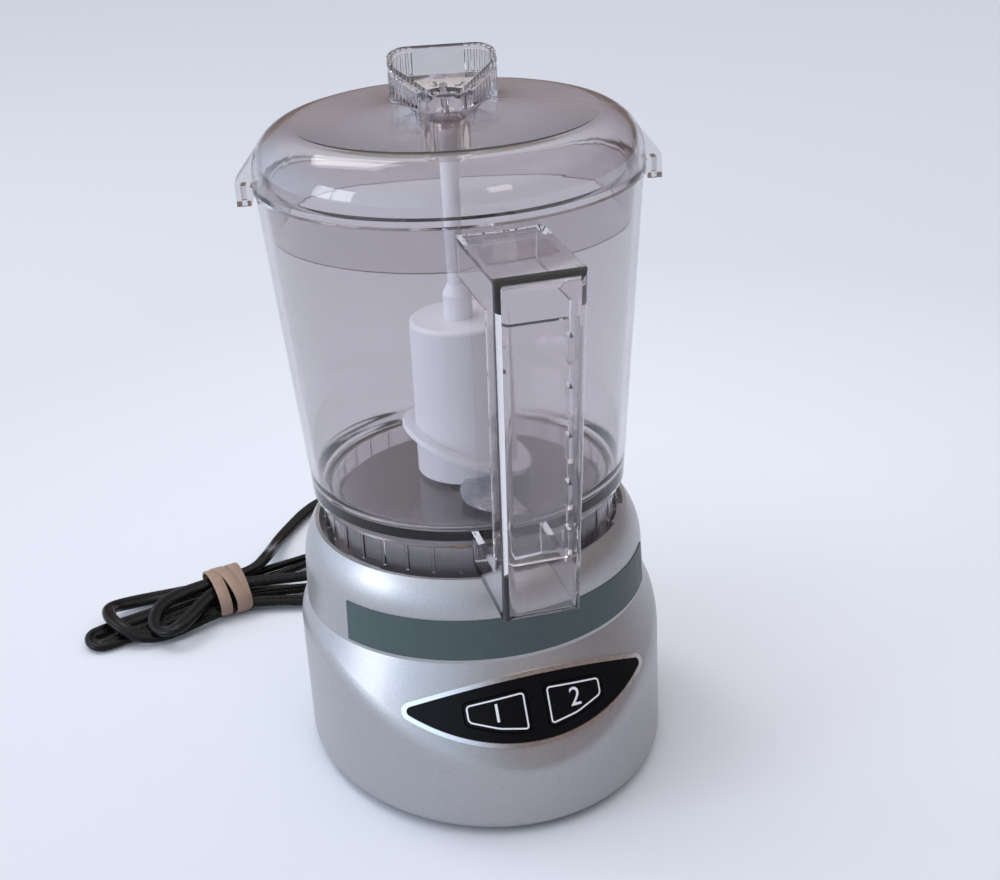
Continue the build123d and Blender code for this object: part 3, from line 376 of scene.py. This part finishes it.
FINISHES = {
    "silver_paint": FlakePaint(),
    "clear_smoke": ClearPlastic(),
    "clear_lid": ClearPlastic("clear_lid", tint=(0.80, 0.77, 0.785)),
    "clear_grip": ClearPlastic("clear_grip", tint=(0.92, 0.90, 0.91)),
    "silver_trim": Finish("silver_trim", (0.70, 0.70, 0.72), (0.84, 0.84, 0.86), 0.14, 0.24, metal=1.0),
    "panel_black": Finish("panel_black", (0.004, 0.004, 0.005), (0.007, 0.007, 0.008), 0.10, 0.18, shine=0.1),
    "label": Finish("label", (0.058, 0.082, 0.086), (0.074, 0.100, 0.104), 0.38, 0.5, shine=0.2, grain=260.0),
    "white_plastic": Finish("white_plastic", (0.74, 0.755, 0.80), (0.79, 0.805, 0.85), 0.34, 0.46),
    "black_plastic": Finish("black_plastic", (0.010, 0.010, 0.011), (0.022, 0.022, 0.024), 0.34, 0.5),
    "cord_black": Finish("cord_black", (0.003, 0.003, 0.003), (0.006, 0.0055, 0.006), 0.20, 0.32, shine=0.18),
    "rubber_black": Finish("rubber_black", (0.012, 0.012, 0.012), (0.03, 0.03, 0.03), 0.6, 0.8, relief=0.3),
    "rubber_tan": Finish("rubber_tan", (0.24, 0.155, 0.115), (0.36, 0.245, 0.19), 0.5, 0.72, grain=420.0,
                         relief=0.4, depth=0.00012),
    "blade_steel": Finish("blade_steel", (0.50, 0.50, 0.52), (0.68, 0.68, 0.70), 0.16, 0.34, metal=1.0,
                          grain=300.0, stretch=(1.0, 9.0, 1.0)),
    "steel": Finish("steel", (0.42, 0.42, 0.43), (0.56, 0.56, 0.57), 0.28, 0.44, metal=1.0),
    "magnet": Finish("magnet", (0.035, 0.035, 0.037), (0.06, 0.06, 0.062), 0.55, 0.75),
    "bronze": Finish("bronze", (0.36, 0.22, 0.10), (0.50, 0.32, 0.16), 0.34, 0.5, metal=1.0),
    "brass_blade": Finish("brass_blade", (0.66, 0.60, 0.48), (0.78, 0.72, 0.60), 0.2, 0.34, metal=1.0),
    "board_green": Finish("board_green", (0.012, 0.07, 0.03), (0.02, 0.10, 0.045), 0.32, 0.46, coat=0.2),
}

# Nodes with a clearer finish than their slot's: the lid is thinner than the bowl, and so is the grip's shell
VARIANTS = {
    "lid": "clear_lid",
    "bowl_handle": "clear_grip",
    "handle_insert": "clear_grip",
}


class Paintbox:
    """The finishes as built materials, one of each."""

    def __init__(self) -> None:
        """Build every finish once."""
        self.materials = {name: finish.material() for name, finish in FINISHES.items()}

    def dress(self, piece: bpy.types.Object, finish: str) -> None:
        """Give a piece one finish all over.

        Args:
            piece: A new piece or a node of the frame.
            finish: Name of the finish.
        """
        piece.data.materials.clear()
        piece.data.materials.append(self.materials[finish])

    def dress_nodes(self) -> None:
        """Give every node of the frame the finish of its slot in the record."""
        for entry in frame["record"]["subparts"]:
            finish = VARIANTS.get(entry["node"], entry["material_slot"])
            self.dress(frame["nodes"][entry["node"]], finish)
            LOG.info("dressed %s in %s", entry["node"], finish)


@dataclass(frozen=True)
class Lamp:
    """A soft lamp.

    Attributes:
        name: The lamp's name.
        place: Where it stands.
        size: Width and height in metres.
        power: Power in watts.
        colour: Colour of its light.
    """

    name: str
    place: Place
    size: tuple[float, float]
    power: float
    colour: Colour

    def build(self, target: Place) -> None:
        """Add the lamp to the scene.

        Args:
            target: What it points at.
        """
        data = bpy.data.lights.new(self.name, "AREA")
        data.shape = "RECTANGLE"
        data.size, data.size_y = self.size
        data.energy = self.power
        data.color = self.colour
        lamp = bpy.data.objects.new(self.name, data)
        lamp.location = self.place
        lamp.rotation_euler = (Vector(target) - Vector(self.place)).to_track_quat("-Z", "Y").to_euler()
        bpy.context.scene.collection.objects.link(lamp)


COOL, WARM, PLAIN = (0.90, 0.95, 1.0), (1.0, 0.95, 0.90), (1.0, 1.0, 1.0)
LAMPS = (
    Lamp("left_window_near", (-2.6, -0.53, 0.86), (0.58, 1.0), 8.5, COOL),
    Lamp("left_window_far", (-2.6, 0.11, 0.86), (0.58, 1.0), 8.5, COOL),
    Lamp("skylight", (-0.43, 0.61, 1.29), (0.45, 0.6), 3.5, PLAIN),
    Lamp("front_window", (0.29, -1.17, 0.84), (0.3, 0.3), 0.9, WARM),
)


@dataclass
class Studio:
    """Camera, lamps, sky and floor.

    Attributes:
        eye: Place of the camera.
        heading: Degrees that the view turns from +Y towards +X.
        pitch: Degrees that the view looks down.
        roll: Degrees that the camera leans.
        lens: Focal length in millimetres on a 36 mm sensor.
        floor_size: Width of the floor in metres.
        floor_colour: Colour of the floor by the part.
        painted_light_pool_middle: Middle of the pool of light painted on the floor, its lightest patch.
        painted_light_pool_reach: Distances from it at which the painted pool of light starts and ends
            greying.
        painted_falloff_share: How light the floor is further out, against the pool, as painted falloff of the
            light.
        window_sky: Colour of the sky on the left.
        room_sky: Colour of the sky on the right.
        ceiling_sky: Colour of the sky overhead.
        side_span: Directions across between which the window gives way to the room.
        top_span: Directions up between which both give way to the ceiling.
        sky_strength: Strength of the sky.
        aim: What the lamps point at.
    """

    eye: Place = (-0.1358, -0.5066, 0.3563)
    heading: float = 16.32
    pitch: float = 24.70
    roll: float = -3.14
    lens: float = 57.58
    floor_size: float = 12.0
    floor_colour: Colour = (0.735, 0.76, 0.83)
    painted_light_pool_middle: Place = (0.1, 0.1, 0.0)
    painted_light_pool_reach: tuple[float, float] = (0.12, 0.42)
    painted_falloff_share: float = 0.87
    window_sky: Colour = (1.12, 1.36, 1.68)
    room_sky: Colour = (0.21, 0.155, 0.14)
    ceiling_sky: Colour = (1.12, 1.12, 1.13)
    side_span: tuple[float, float] = (-0.85, 0.1)
    top_span: tuple[float, float] = (0.3, 0.85)
    sky_strength: float = 1.0
    aim: Place = (0.0, 0.0, 0.12)

    def add_camera(self) -> None:
        """Place the camera at the photograph's viewpoint."""
        data = bpy.data.cameras.new("photo_camera")
        data.lens = self.lens
        data.sensor_width = 36.0
        camera = bpy.data.objects.new("photo_camera", data)
        bpy.context.scene.collection.objects.link(camera)
        turn = Matrix.Rotation(math.radians(-self.heading), 4, "Z")
        tip = Matrix.Rotation(math.radians(90.0 - self.pitch), 4, "X")
        lean = Matrix.Rotation(math.radians(self.roll), 4, "Z")
        camera.matrix_world = Matrix.Translation(self.eye) @ turn @ tip @ lean
        bpy.context.scene.camera = camera

    def add_sky(self) -> None:
        """Give the world a cool, bright left, a dim, warm right and a pale top, like a room with a window."""
        world = bpy.data.worlds.new("studio_sky")
        world.use_nodes = True
        bpy.context.scene.world = world
        tree = world.node_tree
        background = tree.nodes["Background"]
        coordinates = tree.nodes.new("ShaderNodeTexCoord")
        split = tree.nodes.new("ShaderNodeSeparateXYZ")
        tree.links.new(coordinates.outputs["Generated"], split.inputs["Vector"])
        mixes = []
        for axis, (start, end), far in (
            ("X", self.side_span, self.room_sky),
            ("Z", self.top_span, self.ceiling_sky),
        ):
            spread = tree.nodes.new("ShaderNodeMapRange")
            spread.interpolation_type = "SMOOTHSTEP"
            spread.inputs["From Min"].default_value = start
            spread.inputs["From Max"].default_value = end
            tree.links.new(split.outputs[axis], spread.inputs["Value"])
            mix = tree.nodes.new("ShaderNodeMix")
            mix.data_type = "RGBA"
            mix.inputs[7].default_value = (*far, 1.0)
            tree.links.new(spread.outputs["Result"], mix.inputs[0])
            mixes.append(mix)
        sides, top = mixes
        sides.inputs[6].default_value = (*self.window_sky, 1.0)
        tree.links.new(sides.outputs[2], top.inputs[6])
        tree.links.new(top.outputs[2], background.inputs["Color"])
        background.inputs["Strength"].default_value = self.sky_strength

    def add_floor(self) -> None:
        """Lay the pale floor, with a painted pool of light by the part and painted shade greying it further
        away.
        """
        deselect_all()
        bpy.ops.mesh.primitive_plane_add(size=self.floor_size)
        floor = bpy.context.object
        floor.name = "studio_floor"
        surface = Surface("studio_floor")
        # Painted light: the floor's colour is lightest round the part and greyer with distance from it, a
        # painted pool of light.
        span = surface.node("ShaderNodeVectorMath", operation="DISTANCE")
        span.inputs[1].default_value = self.painted_light_pool_middle
        surface.link(surface.place, span.inputs[0])
        start, end = self.painted_light_pool_reach
        painted_pool_falloff = surface.between(span.outputs["Value"], 0.0, 1.0, start=start, end=end)
        far = tuple(self.painted_falloff_share * channel for channel in self.floor_colour)
        surface.link(surface.tint(painted_pool_falloff, self.floor_colour, far), surface.shader.inputs["Base Color"])
        surface.set(Roughness=0.9, Specular_IOR_Level=0.1)
        floor.data.materials.append(surface.material)

    def build(self) -> None:
        """Set up the whole studio."""
        bpy.context.scene.view_settings.view_transform = "Standard"
        self.add_camera()
        self.add_sky()
        self.add_floor()
        for lamp in LAMPS:
            lamp.build(self.aim)


@dataclass
class CordSet:
    """Twin mains cord in a tied hank.

    Sizes are in millimetres, as the route of the solids is.

    Attributes:
        width: Width of the flat twin cord.
        lobe: Radius of each of its two cores.
        gland: Height of the exit above the floor.
        boot_end: Where the strain relief ends.
        waist: Middle of the tied waist on the floor.
        angle: Degrees that the hank turns from +X.
        pitch: Distance of strands at the waist.
        neck: Half the straight length at the waist.
        floor_lift: Height of strands that lie on the floor.
        fold_lift: Height of the fold on top.
        low_waist: Height of the lower strands in the band.
        high_waist: Height of the upper strands in the band.
        right_run: Distance along the hank at which its right end widens.
        right_fold: Distance along it at which the folds of its right end start.
        loop_row: Offset of the wide loop's strands.
        top_row: Offset of the strand that comes back from the fold on top.
        tail_row: Offset of the strand that ends in the plug.
        plug_place: Distance along the hank to the plug.
        plug_height: Height of the plug's middle.
        length: Real length of the cord in metres, not used.
        sway: Degrees that the flat cord tilts this way and that in the hank.
        sway_step: Radians of that sway from one point to the next.
        first_sway: Number of the first point that tilts.
        route: Points of the cord's line in metres.
    """

    width: float = 6.0
    lobe: float = 1.65
    gland: float = 30.0
    boot_end: float = 92.0
    waist: tuple[float, float] = (-81.0, 121.0)
    angle: float = 11.0
    pitch: float = 7.4
    neck: float = 8.0
    floor_lift: float = 2.7
    fold_lift: float = 8.6
    low_waist: float = 4.6
    high_waist: float = 10.4
    right_run: float = 40.0
    right_fold: float = 60.0
    loop_row: float = 15.2
    top_row: float = 8.0
    tail_row: float = 30.5
    plug_place: float = 94.0
    plug_height: float = 7.0
    length: float = 1.06
    sway: float = 36.0
    sway_step: float = 0.9
    first_sway: int = 10
    route: list[Vector] = field(default_factory=list)

    def spot(self, u: float, v: float, z: float) -> Vector:
        """Place from distances along and across the hank and a height.

        Args:
            u: Distance along the hank.
            v: Distance across it.
            z: Height.

        Returns:
            The place in metres.
        """
        turn = math.radians(self.angle)
        x = self.waist[0] + u * math.cos(turn) - v * math.sin(turn)
        y = self.waist[1] + u * math.sin(turn) + v * math.cos(turn)
        return Vector((x, y, z)) * MM

    def add_fold(self, u: float, v_in: float, v_out: float, height: float, rise: float = 0.0) -> None:
        """Add a half turn of the hank to the route, as four corners round it.

        Args:
            u: Where the half turn starts, away from the waist.
            v_in: Row that it comes from.
            v_out: Row that it goes back to.
            height: Height at its start and its end.
            rise: How far it rises in between, over what lies under it.
        """
        middle = (v_in + v_out) / 2
        radius = (v_in - v_out) / 2
        reach = math.copysign(abs(radius), u)
        corner = math.tan(math.radians(22.5))
        corners = ((corner, 1.0, 0.0), (1.0, corner, rise), (1.0, -corner, rise), (corner, -1.0, 0.0))
        for along, across, lift in corners:
            self.route.append(self.spot(u + reach * along, middle + radius * across, height + lift))

    def add_waist(self, v: float, z: float, way: int) -> None:
        """Add a straight pass through the band.

        Args:
            v: Row of the strand.
            z: Height of the strand.
            way: Heading along the hank, +1 or -1.
        """
        self.route.append(self.spot(-way * self.neck, v, z))
        self.route.append(self.spot(way * self.neck, v, z))

    def lay_route(self) -> None:
        """Lay the cord's route: lead, three loops and tail."""
        inner, outer = self.pitch / 2, 1.5 * self.pitch
        low, top = self.floor_lift, self.fold_lift
        boot_run, plug_run, plug_grip = 28.0, 12.0, 5.0
        lead = [
            (0.0, self.boot_end - boot_run, self.gland),
            (0.0, 114.0, self.gland),
            (11.0, 151.0, low),
            (21.0, 173.0, low),
            (13.4, 193.0, low),
            (-5.6, 203.0, low),
            (-26.5, 198.4, low),
        ]
        self.route = [Vector(point) * MM for point in lead]
        self.route.append(self.spot(42.0, 42.0, low))
        self.route.append(self.spot(32.0, 28.0, low + 2.5))
        self.route.append(self.spot(24.0, 12.0, self.high_waist + 0.8))
        self.route.append(self.spot(14.0, inner, self.high_waist))
        self.route.append(self.spot(-self.neck, inner, self.high_waist))
        self.add_fold(-24.0, 0.0, -26.0, self.high_waist, rise=-4.0)
        self.add_waist(-inner, self.high_waist, 1)
        self.route.append(self.spot(self.right_run, -self.loop_row, top))
        self.add_fold(self.right_fold, -self.loop_row, self.top_row, top)
        self.route.append(self.spot(self.right_run, self.top_row, low))
        self.add_waist(inner, self.low_waist, -1)
        self.add_fold(-56.0, 3.5, -9.5, low)
        self.add_waist(-inner, self.low_waist, 1)
        self.route.append(self.spot(self.right_run, -self.loop_row, low))
        self.add_fold(self.right_fold, -self.loop_row, self.loop_row, low)
        self.route.append(self.spot(self.right_run, self.loop_row, low))
        self.add_waist(outer, self.low_waist, -1)
        self.add_fold(-33.0, 20.9, -17.5, low, rise=6.2)
        self.add_waist(-outer, self.low_waist, 1)
        self.route.append(self.spot(self.right_run, -self.tail_row, low))
        self.route.append(self.spot(self.right_fold, -self.tail_row, low))
        self.route.append(self.spot(self.plug_place - plug_run, -self.tail_row, self.plug_height))
        self.route.append(self.spot(self.plug_place + plug_grip, -self.tail_row, self.plug_height))

    def twin_profile(self) -> bpy.types.Object:
        """Closed outline of the flat twin cord, for sweeping."""
        curve = bpy.data.curves.new("twin_profile", "CURVE")
        curve.dimensions = "2D"
        centre = self.width / 2 - self.lobe
        first_angle, angle_step, angle_count = -128, 32, 9
        points = []
        for side in (1, -1):
            for step in range(angle_count):
                angle = math.radians(first_angle + angle_step * step)
                x = side * (centre + self.lobe * math.cos(angle))
                points.append((x * MM, side * self.lobe * math.sin(angle) * MM))
        spline = curve.splines.new("POLY")
        spline.points.add(len(points) - 1)
        for target, (x, y) in zip(spline.points, points):
            target.co = (x, y, 0.0, 1.0)
        spline.use_cyclic_u = True
        profile = bpy.data.objects.new("twin_profile", curve)
        bpy.context.scene.collection.objects.link(profile)
        return profile

    def build(self, paint: Paintbox) -> None:
        """Args:
            paint: The finishes.
        """
        self.lay_route()
        curve = bpy.data.curves.new("mains_cord", "CURVE")
        curve.dimensions = "3D"
        curve.resolution_u = 6
        curve.twist_mode = "Z_UP"
        spline = curve.splines.new("NURBS")
        spline.points.add(len(self.route) - 1)
        for number, (target, place) in enumerate(zip(spline.points, self.route)):
            target.co = (*place, 1.0)
            if number >= self.first_sway:
                target.tilt = math.radians(self.sway * math.sin(self.sway_step * number))
        spline.order_u = 3
        spline.use_endpoint_u = True
        cord = bpy.data.objects.new("mains_cord", curve)
        bpy.context.scene.collection.objects.link(cord)
        bpy.context.view_layer.update()
        line = bpy.data.meshes.new_from_object(cord)
        bpy.data.meshes.remove(line)
        profile = self.twin_profile()
        curve.bevel_mode = "OBJECT"
        curve.bevel_object = profile
        curve.use_fill_caps = True
        activate(cord)
        bpy.ops.object.convert(target="MESH")
        cord = bpy.context.object
        bpy.data.objects.remove(profile)
        bpy.ops.object.shade_smooth_by_angle(angle=math.radians(50.0))
        paint.dress(cord, "cord_black")
        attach(cord, Body.BASE.value)
        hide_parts("cord_lead", "cord_hank", "cord_tail")
        LOG.info("laid the cord with %d points", len(self.route))


@dataclass
class Band:
    """Tan rubber band, wound three times round the waist of the hank.

    Sizes are in millimetres.

    Attributes:
        half_width: Half the width of a wrap across the hank.
        half_height: Half the height of a wrap.
        lift: Height of a wrap's middle.
        lowest: Lowest height of a wrap.
        bulge: Powers that square the wrap's sides and its top, below 1 for fuller ones.
        crown: Share of the width that a wrap loses at its top.
        tape: Width of the band.
        thickness: Thickness of the band.
        edge: Radius of its edges.
        wraps: Place along the hank, lean in degrees and growth of each wrap.
    """

    half_width: float = 14.6
    half_height: float = 6.4
    lift: float = 7.4
    lowest: float = 1.6
    bulge: tuple[float, float] = (0.62, 0.8)
    crown: float = 0.38
    tape: float = 5.2
    thickness: float = 1.1
    edge: float = 0.35
    wraps: tuple[Place, ...] = ((-4.8, 4.0, 0.0), (0.2, -5.0, 0.5), (4.8, 6.0, 0.2))

    def wrap_mesh(self, cord: CordSet, along: float, lean: float, growth: float) -> bpy.types.Object:
        """One wrap of the band.

        Args:
            cord: The cord that it ties.
            along: Place of its middle along the hank.
            lean: Degrees that it leans.
            growth: How far it stands off the others.

        Returns:
            The wrap as a mesh.
        """
        deselect_all()
        bpy.ops.mesh.primitive_circle_add(vertices=72, radius=1.0)
        wrap = bpy.context.object
        for vertex in wrap.data.vertices:
            angle = math.atan2(vertex.co.y, vertex.co.x)
            cosine, sine = math.cos(angle), math.sin(angle)
            v = (self.half_width + growth) * math.copysign(abs(cosine) ** self.bulge[0], cosine)
            z = (self.half_height + growth) * math.copysign(abs(sine) ** self.bulge[1], sine)
            if z > 0:
                v *= 1.0 - self.crown * (z / self.half_height) ** 2
            slant = math.tan(math.radians(lean)) * v
            vertex.co = cord.spot(along - self.tape / 2 + slant, v, max(self.lowest, self.lift + z))
        bpy.ops.object.mode_set(mode="EDIT")
        bpy.ops.mesh.select_all(action="SELECT")
        step = cord.spot(self.tape, 0.0, 0.0) - cord.spot(0.0, 0.0, 0.0)
        bpy.ops.mesh.extrude_region_move(TRANSFORM_OT_translate={"value": step})
        bpy.ops.mesh.select_all(action="SELECT")
        bpy.ops.mesh.normals_make_consistent(inside=False)
        bpy.ops.object.mode_set(mode="OBJECT")
        solid = wrap.modifiers.new("thickness", "SOLIDIFY")
        solid.thickness = self.thickness * MM
        solid.offset = 1.0
        bevel = wrap.modifiers.new("edges", "BEVEL")
        bevel.width = self.edge * MM
        bevel.segments = 2
        apply_modifiers(wrap)
        return wrap

    def build(self, cord: CordSet, paint: Paintbox) -> None:
        """Wrap the band round the waist.

        Args:
            cord: The cord that it ties.
            paint: The finishes.
        """
        band = join([self.wrap_mesh(cord, *wrap) for wrap in self.wraps])
        band.name = "rubber_band"
        bpy.ops.object.shade_smooth_by_angle(angle=math.radians(40.0))
        paint.dress(band, "rubber_tan")
        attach(band, Body.BASE.value)
        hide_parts("cord_tie")
        LOG.info("wrapped the rubber band")


@dataclass
class KeyMarks:
    """White frames and plain numbers on the two keys.

    Attributes:
        corners: Corners of the right key's frame on the panel, round it from the inner top, in millimetres.
        line: Width of the frame's line.
        corner: Radius of its corners.
        digit: Height of the number.
        digit_place: Middle of the right key's number on the panel.
        skin: Thickness of the print.
        height: Height of the panel's middle above the floor.
        radius: Radius of the flared front there.
        lean: Degrees that the front leans back.
        standoff: Distance before the panel from which a print is laid on its key.
        gap: Distance that keeps a print clear of its key's face.
        cap_share: Height of a number against the type size.
    """

    corners: tuple[tuple[float, float], ...] = (
        (4.0, 4.3),
        (4.0, -8.7),
        (14.0, -6.8),
        (24.0, -2.8),
        (24.0, 3.1),
    )
    line: float = 0.55
    corner: float = 1.4
    digit: float = 6.4
    digit_place: tuple[float, float] = (14.0, -1.5)
    skin: float = 0.06
    height: float = 47.0
    radius: float = 69.2
    lean: float = 25.2
    standoff: float = 6.0
    gap: float = 0.02
    cap_share: float = 0.7

    def placing(self) -> Matrix:
        """Matrix in metres that lifts a flat drawing to just before the panel."""
        tip = Matrix.Rotation(math.radians(90.0 - self.lean), 4, "X")
        place = Matrix.Translation(Vector((0.0, -self.radius, self.height)) * MM)
        return place @ tip @ Matrix.Translation(Vector((0.0, 0.0, self.standoff)) * MM)

    def frame_mesh(self, side: int) -> bpy.types.Object:
        """Flat rounded frame at its place on the panel.

        Args:
            side: -1 for the left key, +1 for the right one.

        Returns:
            The frame as a mesh.
        """
        deselect_all()
        bpy.ops.mesh.primitive_circle_add(vertices=len(self.corners), fill_type="NGON")
        outline = bpy.context.object
        for vertex, (across, up) in zip(outline.data.vertices, self.corners[::side]):
            vertex.co = Vector((side * across, up, 0.0)) * MM
        bpy.ops.object.mode_set(mode="EDIT")
        bpy.ops.mesh.select_all(action="SELECT")
        bpy.ops.mesh.bevel(offset=self.corner * MM, segments=6, affect="VERTICES")
        bpy.ops.mesh.select_all(action="SELECT")
        bpy.ops.mesh.inset(thickness=self.line * MM)
        bpy.ops.mesh.delete(type="FACE")
        bpy.ops.mesh.select_all(action="SELECT")
        bpy.ops.mesh.subdivide(number_cuts=5)
        bpy.ops.object.mode_set(mode="OBJECT")
        return outline

    def digit_mesh(self, text: str, side: int) -> bpy.types.Object:
        """Flat number at its place on the panel.

        Args:
            text: The number.
            side: -1 for the left key, +1 for the right one.

        Returns:
            The number as a mesh.
        """
        deselect_all()
        bpy.ops.object.text_add()
        number = bpy.context.object
        number.data.body = text
        number.data.size = self.digit * MM / self.cap_share
        number.data.align_x = "CENTER"
        number.data.align_y = "CENTER"
        bpy.ops.object.convert(target="MESH")
        across, up = self.digit_place
        bpy.context.object.data.transform(Matrix.Translation(Vector((side * across, up, 0.0)) * MM))
        return bpy.context.object

    def build_mark(self, text: str, side: int, body: Body, paint: Paintbox) -> None:
        """Print one key.

        Args:
            text: The number.
            side: -1 for the left key, +1 for the right one.
            body: The key's body, which is also the name of its node.
            paint: The finishes.
        """
        mark = join([self.frame_mesh(side), self.digit_mesh(text, side)])
        mark.name = f"{body.value}_mark"
        mark.data.transform(self.placing())
        mark.matrix_world = Matrix.Identity(4)
        inward = self.placing().to_3x3() @ Vector((0.0, 0.0, -1.0))
        key = frame["nodes"][body.value]
        for vertex in mark.data.vertices:
            hit, spot, *_ = key.ray_cast(vertex.co, inward)
            if hit:
                vertex.co = spot - inward * self.gap * MM
        solid = mark.modifiers.new("print", "SOLIDIFY")
        solid.thickness = self.skin * MM
        solid.offset = 1.0
        apply_modifiers(mark)
        paint.dress(mark, "white_plastic")
        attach(mark, body.value)
        LOG.info("printed %s", mark.name)

    def build(self, paint: Paintbox) -> None:
        """Print both keys."""
        self.build_mark("1", -1, Body.KEY_ONE, paint)
        self.build_mark("2", 1, Body.KEY_TWO, paint)


def main() -> None:
    """Build the studio, the finishes and every new piece in order."""
    logging.basicConfig(level=logging.INFO, format="%(name)s: %(message)s")
    Studio().build()
    paint = Paintbox()
    cord = CordSet()
    Band().build(cord, paint)
    cord.build(paint)
    paint.dress_nodes()
    KeyMarks().build(paint)


if __name__ == "__main__":
    main()
